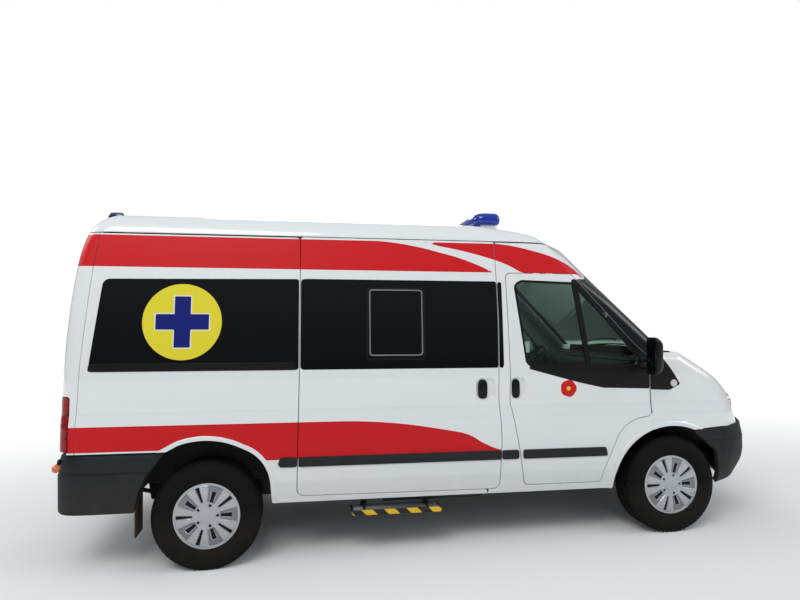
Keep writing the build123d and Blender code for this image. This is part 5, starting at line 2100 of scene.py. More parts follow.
    def seams(self) -> None:
        """Black strips in the gutters: partly the sealer there, partly painted shadow under the gutter's lip."""
        z = self.zones
        gutter = Mesh()
        for side in Side:
            region = Region([z.half(side), Cut(2, GUTTER_Z + 5), Cut(2, GUTTER_Z - 17, False), Cut(0, 2410),
                             Cut(0, -690, False)])
            gutter.join(self.on_skin(region, -3.5, 14, 1))
        Piece("gutter_sealer", "body", FINISH.get("seal"), (), "rubber").make(gutter)

    def side_step(self) -> None:
        """The step under the sliding door, its lip painted with bars."""
        tread = slab(box(936, -984, 1566, -804, 26), LEVEL_FACE, 288, 304, 3, 0)
        ribs = [slab(rounded(590, 7, 3, (1251, y)), LEVEL_FACE, 303, 308, 1.5, 0) for y in range(-960, -820, 22)]
        lip = slab(rounded(610, 34, 8, (1250, 297)), right_face(-980), 0, 7, 2, 1)
        arms = []
        for x in (1030, 1470):
            arms.append(slab(outline([(x - 22, 304), (x + 22, 304), (x + 16, 400), (x + 16, 438), (x - 16, 438),
                                      (x - 16, 400)], 4), right_face(-848), 0, 9, 1.5, 2))
            arms.append(tube([(x, -856, 330), (x, -900, 312), (x, -950, 300)], 9, 10, 2))
        Piece("side_step", "body", FINISH.get("alloy", "hazard", "chassis"), ("side_step",), "tread_metal").make(
            together(tread, *ribs, lip, *arms))

    def aprons(self) -> None:
        """Black sheets inboard of the rear tyres, lower than the wheel houses reach: painted shade that hides the lit
        floor seen under the van.
        """
        whole = Mesh()
        for y in (-682, 682):
            for way in (-1, 1):
                rows = [(way * x, z) for x, z in ((130, 486), (132, 430), (170, 368), (404, 366), (424, 486))]
                whole.join(slab(outline(rows, 14), right_face(y), -2.5, 2.5, 1, 0))
        Piece("wheel_house_aprons", "body", FINISH.get("black"), (), "chassis_black").make(whole)

    def mud_flaps(self) -> None:
        """Rubber flaps behind the rear wheels, ribbed and slightly bowed."""
        whole = Mesh()
        for y in (-845, 845):
            sheet_rings = []
            for k in range(12):
                level = 192 + (586 - 192) * k / 11
                bow = 3.0 * math.sin(k / 11 * 3.1)
                loop = rounded(190, 6.5, 3, (y, -442 - bow))
                sheet_rings.append(np.column_stack([loop[:, 1], loop[:, 0], np.full(len(loop), level)]))
            whole.join(loft(sheet_rings))
            for off in range(-80, 81, 20):
                whole.join(tube([(-447.5, y + off, 215), (-448.5, y + off, 400), (-447.5, y + off, 560)], 2.0, 8))
        Piece("mud_flaps", "body", FINISH.get("mudflap"), ("mud_flaps",), "rubber").make(whole)

    def build(self) -> None:
        """Make every trim part."""
        self.strips()
        for side in Side:
            self.sweep(side)
            self.handle(f"handle_front_{side.tag}", f"door_front_{side.tag}", side, 2101, 1108, 60)
        self.handle("handle_sliding", "body", Side.RIGHT, 1858, 1108, 68)
        self.rosette()
        self.seams()
        self.side_step()
        self.mud_flaps()
        self.aprons()


# Width, height and corner radius of the blank number plates
PLATE = (520.0, 112.0, 8.0)


@dataclass
class Bumpers:
    """Front and rear bumpers in grained dark plastic."""

    zones: Zones
    front_skin: FrontBumperSkin = field(default_factory=lambda: FrontBumperSkin(SKIN.half_at))
    crease_z: float = 702.0
    fog_at: tuple[float, float] = (640.0, 505.0)
    plate_bow: float = 1580.0

    def front(self) -> None:
        """The front bumper: creased round its corners, with an intake, fog lamps and a blank plate."""
        skin = self.front_skin
        mesh = SkinMesh.over(skin, (3300, 3500), (372, 640), (18, 80))
        edge = Zone(outline([(3464, 784), (3830, 812), (4400, 840), (4400, 372), (3688, 372), (3684, 484),
                             (3665, 630)], [8, 0, 0, 0, 12, 30, 30]))
        mouth = outline([(-500, 444), (500, 444), (520, 500), (490, 556), (-490, 556), (-520, 500)], 20)
        fog_y, fog_z = self.fog_at
        openings = [Region([Zone(loop, (1, 2)), Cut(0, 3900, False)])
                    for loop in (mouth, *(circle(54, (fog_y * s.value, fog_z)) for s in Side))]
        base = mesh.cut(Region([edge], openings))

        def crease(p: Points) -> np.ndarray:
            """A step line round the bumper and a raised field above it."""
            return 5.0 * ease((p[:, 2] - self.crease_z) / 12) + 2.5 * ease((600 - p[:, 2]) / 14) - 3.0

        whole = Mesh()
        for part in (Cut(2, self.crease_z - 3), Cut(2, self.crease_z + 3, False)):
            whole.join(Sheet(base.cut(Region([part])), 4, 34, 0, crease).mesh())
        slats = []
        ys = np.linspace(-486, 486, 25)
        for z in (462, 486, 510, 534):
            path = at_level(np.column_stack([skin.front_at(ys, z) - 22, ys]), z)
            slats.append(tube(path, 8, 10, 1, flat=0.45))
        lamps = []
        for s in Side:
            y = fog_y * s.value
            x = skin.front_at(y, fog_z)
            way = np.array([x - skin.centre_x, y, 0])
            way /= np.linalg.norm(way)
            at = np.array([x, y, fog_z]) - way * 26
            bowl = [(0, -30), (46, -30), (52, 8), (58, 14), (52, 18), (47, 10), (40, -14), (0, -22)]
            lamps.append(lathe(bowl, at, way, 48, 2))
            lamps.append(lathe([(0, 4), (46, 4), (44, 9), (0, 13)], at, way, 48, 3))
        front = Face((4236.0, 0.0, 0.0), (0.0, 1.0, 0.0), (0.0, 0.0, 1.0))
        plate = slab(rounded(*PLATE, (0, 620)), front, 0, 6, 2, 4)
        points = np.concatenate(plate.points)
        points[:, 0] += np.sqrt(self.plate_bow**2 - points[:, 1] ** 2) - self.plate_bow
        plate.points = [points]
        Piece("front_bumper", "body", FINISH.get("plastic", "black", "reflector", "lens", "pale"), ("front_bumper",),
              "bumper_plastic").make(together(whole, *slats, *lamps, plate))

    def rear(self) -> None:
        """The rear bumper: a step with a tread plate and a corner that runs to each arch."""
        plan = [(-262, 984), (-800, 986), (-868, 979), (-916, 949), (-940, 900), (-948, 700), (-953, 400), (-956, 0)]
        half = np.array(plan, float)
        full = np.concatenate([half, (half * [1, -1])[-2::-1]])
        face = [(362, 18), (372, 8), (500, 4), (596, 2), (607, 3), (610, 11), (616, 12), (620, 5), (632, 5),
                (700, 14), (722, 20), (732, 30)]
        back = [(732, 62), (640, 46), (500, 46), (372, 50)]
        profile = [(z, inset, 0.6) for z, inset in face] + [(z, inset, 1.0) for z, inset in back]
        curve = []
        for a, b in zip(full, full[1:]):
            n = max(1, int(math.dist(a, b) / 45))
            curve += [a + (b - a) * k / n for k in range(n)]
        curve = np.array(curve + [full[-1]])
        for _ in range(3):
            soft = curve.copy()
            soft[1:-1] = (curve[:-2] + 2 * curve[1:-1] + curve[2:]) / 4
            curve = soft
        t = np.gradient(curve, axis=0)
        t /= np.linalg.norm(t, axis=1)[:, None]
        out = np.column_stack([t[:, 1], -t[:, 0]])
        if float((out * (curve - curve.mean(0))).sum()) < 0:
            out = -out
        rings = np.array([[(c[0] - n[0] * inset, c[1] - n[1] * inset * share, z) for z, inset, share in profile]
                          for c, n in zip(curve, out)])
        arch = np.array([(-268, 734), (-340, 640), (-402, 560), (-433, 440), (-446, 362)])
        limit = np.interp(rings[:, :, 2], arch[::-1, 1], arch[::-1, 0])
        side = np.abs(rings[:, :, 1]) > 880
        x = rings[:, :, 0]
        rings[:, :, 0] = np.where(side & (x > limit - 2), np.minimum(x, limit), x)
        body = loft(rings)
        tread = slab(box(-946, -840, -852, 840, 16), LEVEL_FACE, 628, 640, 2, 1)
        plate = slab(rounded(*PLATE, (0, 500)), rear_face(-958), 0, 5, 2, 2)
        Piece("rear_bumper", "body", FINISH.get("plastic", "alloy", "pale"), ("rear_bumper",), "bumper_plastic").make(
            together(body, tread, plate))

    def build(self) -> None:
        """Make both."""
        self.front()
        self.rear()


def crossing(place: Callable, low: float, high: float) -> float:
    """Find where a point that moves outwards leaves the skin.

    Args:
        place: Gives the point for a value.
        low: A value with the point inside the skin.
        high: A value with the point outside it.

    Returns:
        The value between at which the point is on the skin.
    """
    for _ in range(40):
        middle = (low + high) / 2
        if SKIN.field(np.array([place(middle)]))[0] > 0:
            high = middle
        else:
            low = middle
    return low


@dataclass
class Lamps:
    """Headlamps, tail lamps, beacons, light bar, marker lamps, and the grille between them."""

    zones: Zones
    skin: SkinMesh
    dome_x: tuple[float, float] = (1918.0, 2127.0)

    def headlamps(self) -> None:
        """Clear covers over bowls, with an amber corner."""
        whole = Mesh()
        for side in Side:
            zone = self.zones.headlamps[side]
            base = self.skin.cut(Region([zone], [self.zones.bonnet, self.zones.bumper_front], 4, -3))
            whole.join(Sheet(base, 2.5, 4, 0.5).mesh()).join(Sheet(base, 1.0, 6, -58).mesh().painted(1))
            for y, z, r in ((760, 930, 62), (868, 985, 50)):
                at = self.front_point(side.value * y, z)
                way = np.array([0.93, 0.28 * side.value, 0.22])
                bowl = [(0, -52), (r * 0.5, -46), (r * 0.85, -30), (r, -10), (r + 5, -6), (r, -12), (r * 0.8, -34),
                        (0, -56)]
                whole.join(lathe(bowl, at, way, 40, 1))
                whole.join(lathe([(0, -22), (12, -24), (15, -34), (0, -42)], at, way, 24, 2))
            whole.join(lathe([(0, -26), (26, -30), (30, -44), (0, -50)], self.front_point(side.value * 905, 915),
                             (0.8, 0.5 * side.value, 0.2), 28, 3))
        Piece("headlamps", "body", FINISH.get("lens", "reflector", "pale", "lens_amber"), ("headlamps",),
              "lamp_clear").make(whole)

    def front_point(self, y: float, z: float) -> Points:
        """Where a line along X meets the nose."""
        return np.array([crossing(lambda x: (x, y, z), 3400.0, 4400.0), y, z])

    def grille(self) -> None:
        """The grille: a rounded frame round five thin bars, dark behind."""
        z = self.zones
        outer = Region([z.grille], [z.bumper_front], 4, -3)
        base = self.skin.cut(outer)
        opening = outline([(-556, 824), (556, 824), (548, 966), (-548, 966)], 14)
        inner = Region([Zone(opening, (1, 2)), Cut(0, 3800, False)])
        frame = Sheet(base.cut(Region((), [inner])), 4, 26, 1).mesh()
        bars = []
        for level in (842, 872, 902, 932, 954):
            ys = np.linspace(-550, 550, 31)
            path = np.array([self.front_point(y, level) for y in ys]) - [10, 0, 0]
            bars.append(tube(path, 9, 10, 0, flat=0.4))
        for y in (-275, 0, 275):
            path = np.array([self.front_point(y, level) for level in (828, 862, 900, 938, 962)]) - [18, 0, 0]
            bars.append(tube(path, 5, 8, 0))
        Piece("grille", "body", FINISH.get("black"), ("grille",), "black_plastic").make(together(frame, *bars))

    def tail_lamps(self) -> None:
        """Upright tail lamps in four fields, all red where they wrap round the side."""
        whole = Mesh()
        fields = ((760, 836, 1), (840, 905, 0), (909, 984, 2), (988, 1092, 0))
        for side in Side:
            for z0, z1, kind in fields:
                base = self.skin.cut(Region([self.zones.half(side, 862), Zone(box(-1200, z0, -849, z1, 6))]))
                base.kind[:] = kind
                base = base.cut(Cut(1, 838, False, True), 0)
                whole.join(Sheet(base, 4, 18, 3, lambda p: 0.4 * np.sin(p[:, 2] / 3.2)).mesh())
            base = self.skin.cut(Region([self.zones.half(side, 858), Zone(box(-1200, 757, -846, 1095, 8))]))
            whole.join(Sheet(base, 2, 14, -6).mesh().painted(3))
        Piece("tail_lamps", "body", FINISH.get("lens_red", "lens_smoke", "lens_amber", "black"), ("tail_lamps",),
              "lamp_red").make(whole)

    def dome(self, y0: float, y1: float, finish: int) -> Mesh:
        """One end's cover of the light bar: a rounded box that narrows upwards.

        Args:
            y0: Its end near the middle of the van.
            y1: Its outer end.
            finish: Finish number.

        Returns:
            The cover.
        """
        rings = []
        for z, cut, corner in ((2340, 26, 30), (2343, 14, 36), (2351, 5, 40), (2366, 0, 42), (2398, 0, 42),
                               (2416, 6, 40), (2426, 14, 36), (2431.5, 26, 30), (2433.5, 42, 20)):
            x0, x1, y2 = self.dome_x[0] + cut * 1.4, self.dome_x[1] - cut, y1 - cut
            rings.append(at_level(box(x0, y0, x1, y2, [6, 6, corner, corner * 1.8]), z))
        return loft(evened(rings), finish)

    @staticmethod
    def stack(x: float, y: float, rows: Sequence, finish: int) -> Mesh:
        """A lofted block of rounded rectangles.

        Args:
            x: Its middle along the van.
            y: Its middle across the van.
            rows: Level, half length, half width and corner radius of each rectangle.
            finish: Finish number.

        Returns:
            The block.
        """
        rings = [at_level(rounded(2 * long, 2 * wide, r, (x, y)), z) for z, long, wide, r in rows]
        return loft(evened(rings), finish)

    def light_bar(self) -> None:
        """The light bar: a tray on two feet, a blue dome on the right and a red one on the left."""
        tray = slab(rounded(140, 1170, 40, (2040, 0)), LEVEL_FACE, 2350, 2388, 4, 0)
        foot = [(z, long, wide * 0.9, 18) for z, long, wide in (
            (2268, 82, 62), (2274, 80, 60), (2300, 70, 52), (2336, 66, 50), (2352, 66, 50))]
        feet = [self.stack(2040, y, foot, 1) for y in (-520, 520)]
        speaker = slab(rounded(120, 62, 8, (2040, 0)), LEVEL_FACE, 2350, 2426, 4, 0)
        Piece("light_bar", "body", FINISH.get("black", "white"), ("light_bar",), "black_plastic").make(
            together(tray, speaker, *feet))
        for side, tag, name in ((Side.LEFT, "red", "lens_red_clear"), (Side.RIGHT, "blue", "lens_blue_clear")):
            dome = self.dome(33, 598, 0)
            inner = Mesh()
            for y in (120, 250, 380, 510):
                for rows, z, count, finish in (([(0, 0), (34, 4), (36, 26), (30, 27), (10, 9), (0, 8)], 2396, 32, 1),
                                               ([(0, 0), (9, 0), (9, 20), (5, 27), (0, 28)], 2402, 20, 2)):
                    inner.join(lathe(rows, (2040, y, z), (0, 0, 1), count, finish))
            mesh = together(dome, inner)
            if side is Side.RIGHT:
                mesh = mesh.mirrored()
            Piece(f"light_bar_lens_{tag}", "body", FINISH.get(name, "reflector", "pale"), (f"light_bar_lens_{tag}",),
                  f"lamp_{tag}").make(mesh)

    def beacons(self) -> None:
        """Low lamps on the rear corners of the roof."""
        whole = Mesh()
        for y in (-620, 620):
            whole.join(self.stack(-675, y, ((2296, 54, 42, 14), (2314, 53, 42, 14)), 1))
            whole.join(self.stack(-675, y, ((2314, 50, 39, 14), (2326, 48, 37, 14), (2335, 42, 31, 13),
                                            (2339, 30, 20, 10)), 0))
        Piece("rear_beacons", "body", FINISH.get("lens_blue", "black"), ("rear_beacons",), "lamp_blue").make(whole)

    def markers(self) -> None:
        """Outline marker lamps on rubber stalks."""
        whole = Mesh()
        for s in (1, -1):
            way = np.array([0, s, -0.6]) / math.hypot(1, 0.6)
            start = np.array([-880, s * 985, 708.0])
            whole.join(lathe([(0, 0), (15, 0), (13, 14), (10, 30), (14, 52), (20, 62), (0, 62)], start, way, 32, 0))
            whole.join(lathe([(0, 56), (22, 56), (25, 62), (25, 74), (20, 84), (10, 88), (0, 89)], start, way, 36, 1))
        Piece("marker_lamps", "body", FINISH.get("seal", "lens_amber"), ("marker_lamps",), "lamp_orange").make(whole)

    def build(self) -> None:
        """Make every lamp."""
        self.headlamps()
        self.grille()
        self.tail_lamps()
        self.light_bar()
        self.beacons()
        self.markers()


class Ring:
    """Repeats one part round the Y axis with a node tree, and gives back the plain mesh."""

    def __init__(self) -> None:
        """Build the tree once: a count and a material in, realised copies out."""
        tree = bpy.data.node_groups.new("ring_of_parts", "GeometryNodeTree")
        for name, kind in (("Part", "Geometry"), ("Count", "Int"), ("Material", "Material")):
            tree.interface.new_socket(name, in_out="INPUT", socket_type=f"NodeSocket{kind}")
        tree.interface.new_socket("Ring", in_out="OUTPUT", socket_type="NodeSocketGeometry")
        given = tree.nodes.new("NodeGroupInput")
        points = add_node(tree, "GeometryNodePoints", {"Count": given.outputs["Count"]})
        index = add_node(tree, "GeometryNodeInputIndex").outputs["Index"]
        share = reckon(tree, "DIVIDE", index, given.outputs["Count"])
        way = add_node(tree, "ShaderNodeCombineXYZ", {"Y": reckon(tree, "MULTIPLY", share, 2 * math.pi)})
        copies = add_node(tree, "GeometryNodeInstanceOnPoints", {
            "Points": points.outputs["Points"], "Instance": given.outputs["Part"], "Rotation": way.outputs[0]})
        solid = add_node(tree, "GeometryNodeRealizeInstances", {"Geometry": copies.outputs["Instances"]})
        painted = add_node(tree, "GeometryNodeSetMaterial", {"Geometry": solid.outputs["Geometry"],
                                                             "Material": given.outputs["Material"]})
        done = tree.nodes.new("NodeGroupOutput")
        tree.links.new(painted.outputs["Geometry"], done.inputs["Ring"])
        self.tree = tree
        self.sockets = {item.name: item.identifier for item in tree.interface.items_tree if item.in_out == "INPUT"}

    def of(self, part: Mesh, count: int, material: bpy.types.Material, finish: int) -> Mesh:
        """Give a ring of copies of a part.

        Args:
            part: The part, in millimetres, in its place about the Y axis.
            count: How many copies.
            material: What the copies are made of.
            finish: Finish number in the mesh that is given back.

        Returns:
            The copies as one mesh.
        """
        data = bpy.data.meshes.new("ring_part")
        data.from_pydata((np.concatenate(part.points) / 1000).tolist(), [], part.faces)
        obj = new_object("ring_part", data)
        modifier = obj.modifiers.new("ring", "NODES")
        modifier.node_group = self.tree
        modifier[self.sockets["Count"]] = count
        modifier[self.sockets["Material"]] = material
        plain = bpy.data.meshes.new_from_object(obj.evaluated_get(bpy.context.evaluated_depsgraph_get()))
        points = np.zeros(len(plain.vertices) * 3)
        plain.vertices.foreach_get("co", points)
        mesh = Mesh()
        mesh.add(points.reshape(-1, 3) * 1000, [tuple(f.vertices) for f in plain.polygons], finish)
        bpy.data.objects.remove(obj)
        for spent in (data, plain):
            bpy.data.meshes.remove(spent)
        return mesh


# Degrees in a radian, to the figure that the cover's slots were drawn with
DEGREES = 57.3


@dataclass
class RoadWheel:
    """A tyre on a steel wheel behind a silver cover with pockets, slots and sunk lugs.

    The tuples give a slot's inner and outer radius and its half width in degrees.
    """

    ring: Ring
    tread_blocks: int = 62
    wide: tuple[float, float, float] = (86.0, 196.0, 14.6)
    slit: tuple[float, float, float] = (90.0, 158.0, 5.6)
    narrow: tuple[float, float, float] = (92.0, 192.0, 4.0)
    lug_circle: float = 68.0
    hub_z: float = 350.0
    turns: int = 240
    repeat_deg: int = 72
    dish: tuple = ((0, 97), (40, 97), (46, 95.5), (60, 95.5), (80, 96), (110, 98.5), (150, 100), (190, 97.5),
                   (203, 92), (211, 93), (217, 88))

    @staticmethod
    def beyond(off: Points, r: Points, size: tuple[float, float, float]) -> Points:
        """Distance outside a slot, from the degrees off its middle and the radius."""
        inner, outer, spread = size
        return np.maximum((off - spread) * r / DEGREES, np.maximum(inner - r, r - outer))

    @staticmethod
    def sunk(beyond: Points, slope: float) -> Points:
        """How much of a slot's depth is reached at a distance outside it."""
        return ease(0.5 - beyond / slope)

    def cover(self) -> Mesh:
        """The cover's face: five pockets with a slit in each, five narrow slots, lugs and a ridge at the hub; the
        pocket floors are a darker silver, painted shade.

        Returns:
            The cover, about the Y axis.
        """
        radii = np.concatenate([[0.5], np.arange(8, 80, 6), np.arange(80, 218, 3.0), [217.0]])
        a = np.radians(np.arange(self.turns) * 360 / self.turns)
        r, t = np.meshgrid(radii, a, indexing="ij")
        degrees, half = np.degrees(t), self.repeat_deg / 2
        on_pocket = np.abs((degrees + half) % self.repeat_deg - half)
        between = self.beyond(np.abs(degrees % self.repeat_deg - half), r, self.narrow)
        pocket = self.sunk(self.beyond(on_pocket, r, self.wide), 5.0)
        slit = self.sunk(self.beyond(on_pocket, r, self.slit), 3.5)
        lug = np.min([np.hypot(r * np.cos(t) - self.lug_circle * math.cos(k),
                               r * np.sin(t) - self.lug_circle * math.sin(k))
                      for k in np.radians(np.arange(0, 360, self.repeat_deg))], axis=0)
        high = np.interp(r.ravel(), *np.array(self.dish).T).reshape(r.shape)
        high = high - 8 * pocket - 8 * slit - 13 * self.sunk(between, 4.0) - 10 * self.sunk(lug - 9, 3.5)
        high = high - 1.6 * self.sunk(np.abs(r - 34) - 1.5, 3.0)
        points = np.column_stack([(r * np.cos(t)).ravel(), high.ravel(), (r * np.sin(t)).ravel()])
        rows, cols = r.shape
        faces, kinds = [], []
        # Slots, slits and lug holes are shallow sunk floors painted black for the dark seen through openings to the
        # wheel behind: partly that wheel's own black, partly painted shade
        dark = (self.sunk(between, 2.0) > 0.5) | (lug < 8.5) | (slit > 0.5)
        # Pocket floors get the darker silver: painted shade in the recesses
        deep = (pocket > 0.9) & (slit < 0.1)
        for i in range(rows - 1):
            for j in range(cols):
                k = (j + 1) % cols
                faces.append((i * cols + j, i * cols + k, (i + 1) * cols + k, (i + 1) * cols + j))
                kinds.append(1 if dark[i, j] and dark[i + 1, k] else (2 if deep[i, j] and deep[i + 1, k] else 0))
        faces.append(tuple(range(cols))[::-1])
        kinds.append(0)
        mesh = Mesh()
        mesh.add(points, faces, kinds)
        return mesh.join(lathe([(217, 88), (216, 84), (210, 82), (2, 82)], (0, 0, 0), (0, 1, 0), self.turns, 1))

    def tyre(self, material: bpy.types.Material) -> Mesh:
        """The tyre: rounded walls with fine rings, grooves and shoulder blocks.

        Args:
            material: What the tread blocks are made of.

        Returns:
            The tyre, about the Y axis.
        """
        wall = [(206, 84), (211, 92), (217, 97), (221, 99.5), (226, 99), (232, 102), (250, 106.5), (272, 108.2),
                (292, 107.6), (308, 104.6), (318, 101), (326, 97), (332, 93), (337, 88), (340, 83)]
        tread = [(341.5, 79), (342, 62), (334, 60.5), (334, 54.5), (342.5, 53), (343, 26), (335, 24.5), (335, 18.5),
                 (343, 17), (343.2, 0)]
        half = wall + tread
        profile = half + [(r, -y) for r, y in half[-2::-1]] + [(204, -70), (204, 70)]
        body = lathe(profile, (0, 0, 0), (0, 1, 0), 96, 0, True)
        parts = [body]
        wide = 2 * math.pi / self.tread_blocks * 0.36
        for y0, y1, skew in ((64, 92, 0.012), (28, 51, -0.010), (-15, 15, 0.010), (-51, -28, 0.010),
                             (-92, -64, -0.012)):
            rings = []
            for y in np.linspace(y0, y1, 4):
                edge = max(0.0, abs(y) - 78)
                top = 350 - edge**2 * 0.055
                low = 340 - edge**2 * 0.03
                lean = skew * (y - (y0 + y1) / 2) * 0.25
                section = [(-wide, low), (-wide * 0.86, top), (wide * 0.86, top), (wide, low)]
                rings.append([(rr * math.sin(aa + lean), y, rr * math.cos(aa + lean)) for aa, rr in section])
            parts.append(self.ring.of(loft(rings), self.tread_blocks, material, 0))
        return together(*parts)

    def build(self) -> None:
        """Make all four wheels."""
        rubber = FINISH.get("tyre")[0]
        tyre, cover = self.tyre(rubber), self.cover()
        barrel = lathe([(203, 82), (203, -90), (216, -92), (216, -98), (200, -97), (192, -84), (188, 10), (70, 26),
                        (70, -58), (36, -58), (36, 30), (60, 40), (188, 36), (192, 82)], (0, 0, 0), (0, 1, 0), 72, 3,
                       True)
        wheel = together(cover, barrel)
        for x, track, tag in ((3300, 1737, "front"), (0, 1720, "rear")):
            for side in Side:
                name = f"{tag}_{side.tag}"
                place = np.array([x, side.value * track / 2, self.hub_z])
                for mesh, node, names, slot in (
                        (tyre, "tyre", ("tyre",), "tyre_rubber"),
                        # The third wheel finish is silver darkened as painted shade in the cover's pockets
                        (wheel, "wheel", ("silver", "black", "silver_pocket_shade", "chassis"), "silver_wheel")):
                    copy = (mesh.mirrored() if side is Side.RIGHT else mesh).moved(place)
                    Piece(f"{node}_{name}", f"road_wheel_{name}", FINISH.get(*names), (f"{node}_{name}",), slot,
                          LEVEL).make(copy)


@dataclass
class Mirrors:
    """Door mirrors: a tapered housing, its glass and two arms."""

    middle: tuple[float, float, float] = (3058.0, -1124.0, 1338.0)

    def build(self) -> None:
        """Make both."""
        x, y, z = self.middle
        for side in Side:
            rings = []
            for dx, cut, corner in ((0, 3, 32), (2, 0.5, 34), (8, 0, 34), (26, 4, 36), (46, 13, 40), (60, 24, 38),
                                    (69, 40, 22)):
                loop = rounded(126 - 2 * cut * 0.7, 268 - 2 * cut, min(corner, 60 - cut * 0.7), (y, z))
                rings.append(np.column_stack([np.full(len(loop), x + dx), loop]))
            shell = loft(evened(rings), 0)
            face = rear_face(x + 2.5)
            glass = slab(rounded(104, 164, 20, (-y, z + 36)), face, -1, 3.0, 1, 1)
            low = slab(rounded(104, 62, 16, (-y, z - 88)), face, -1, 3.0, 1, 1)
            arms = [tube([(3078, -946, h0), (3080, -1000, h0 + 2), (3082, -1068, h1)], 11, 14, 0, flat=0.7)
                    for h0, h1 in ((1238, 1246), (1296, 1300))]
            foot = slab(rounded(62, 108, 16, (3076, 1266)), right_face(-955), 0, 12, 4, 0)
            mesh = together(shell, glass, low, foot, *arms)
            if side is Side.LEFT:
                mesh = mesh.mirrored()
            Piece(f"mirror_{side.tag}", f"door_front_{side.tag}", FINISH.get("black", "mirror_glass"),
                  (f"mirror_{side.tag}",), "black_plastic").make(mesh)


@dataclass
class Wipers:
    """Two wipers that lie on the foot of the windscreen."""

    spans: tuple = ((-700, -60), (-20, 620))
    way_out: tuple[float, float, float] = (0.713, 0.0, 0.701)

    def on_screen(self, x: float, y: float, off: float) -> Points:
        """A point so far off the windscreen's face."""
        return np.array([x, y, crossing(lambda z: (x, y, z), 1200.0, 2300.0)]) + np.array(self.way_out) * off

    def build(self) -> None:
        """Make both."""
        whole = Mesh()
        for start, end in self.spans:
            ys = np.linspace(start + 10, end - 10, 17)
            xs = 3406 - 26 * (ys - start) / (end - start)
            whole.join(tube([self.on_screen(x, y, 11) for x, y in zip(xs, ys)], 4.5, 8, 0, flat=1.6))
            ys = np.linspace(start + 40, start + 380, 9)
            xs = 3412 - 22 * (ys - start) / (end - start)
            whole.join(tube([self.on_screen(x, y, 19) for x, y in zip(xs, ys)], 6, 10, 1, flat=0.7))
            whole.join(tube([self.on_screen(3409, start + 60, 10), self.on_screen(3412, start + 40, 16)], 12, 14, 1))
        Piece("wipers", "body", FINISH.get("seal", "black"), ("wipers",), "black_plastic").make(whole)


@dataclass
class Seat:
    """A cab seat: crowned cushion and back with sewn channels, bolsters and a head rest."""

    middle: float

    def pad(self, spine: Sequence, half: float, thick: Callable, channels: int, edge: float) -> Mesh:
        """A stuffed pad that follows a spine in the side view.

        Args:
            spine: Centre line (x, z) of the pad's face.
            half: Half the pad's width.
            thick: Half thickness at a share along the spine.
            channels: How many sewn channels run across.
            edge: How high the side bolsters stand.

        Returns:
            The closed pad.
        """
        spine = np.array(spine, float)
        t = unit(np.gradient(spine, axis=0))
        n = np.column_stack([-t[:, 1], t[:, 0]])
        rings = []
        for k, (p, q) in enumerate(zip(spine, n)):
            share = k / (len(spine) - 1)
            end = min(1.0, (min(share, 1 - share) / 0.09) ** 0.5) if 0 < share < 1 else 0.0
            groove = 1 - 0.10 * (0.5 + 0.5 * math.cos(2 * math.pi * share * channels)) ** 12
            ring = []
            for a in around(56):
                c, s = math.cos(a), math.sin(a)
                across = half * np.sign(c) * abs(c) ** 0.35 * (0.94 + 0.06 * end)
                off = thick(share) * np.sign(s) * abs(s) ** 0.6 * (0.25 + 0.75 * end)
                if s > 0:
                    off = off * groove + edge * max(0.0, (abs(across) / half - 0.62) / 0.38) ** 1.5 * end
                    off -= 2.5 * math.exp(-((abs(across) / half - 0.6) * 26) ** 2) * end
                ring.append((p[0] + q[0] * off, self.middle + across, p[1] + q[1] * off))
            rings.append(ring)
        return loft(rings)

    def pads(self) -> Mesh:
        """This seat's cushion, back and head rest."""
        cushion = np.column_stack([np.linspace(2226, 2672, 26), 900 + 22 * np.sin(np.linspace(0.2, 2.6, 26))])
        back = [(2276 - 118 * s + 12 * math.sin(3 * s), 948 + 536 * s) for s in np.linspace(0, 1, 30)]
        head = [(2136 + 22 * s, 1676 - 120 * s) for s in np.linspace(0, 1, 16)]
        return together(self.pad(cushion, 232, lambda s: 46 - 6 * s, 5, 16),
                        self.pad(back[::-1], 232, lambda s: 40 + 14 * s, 6, 18),
                        self.pad(head, 122, lambda s: 36, 1, 4))


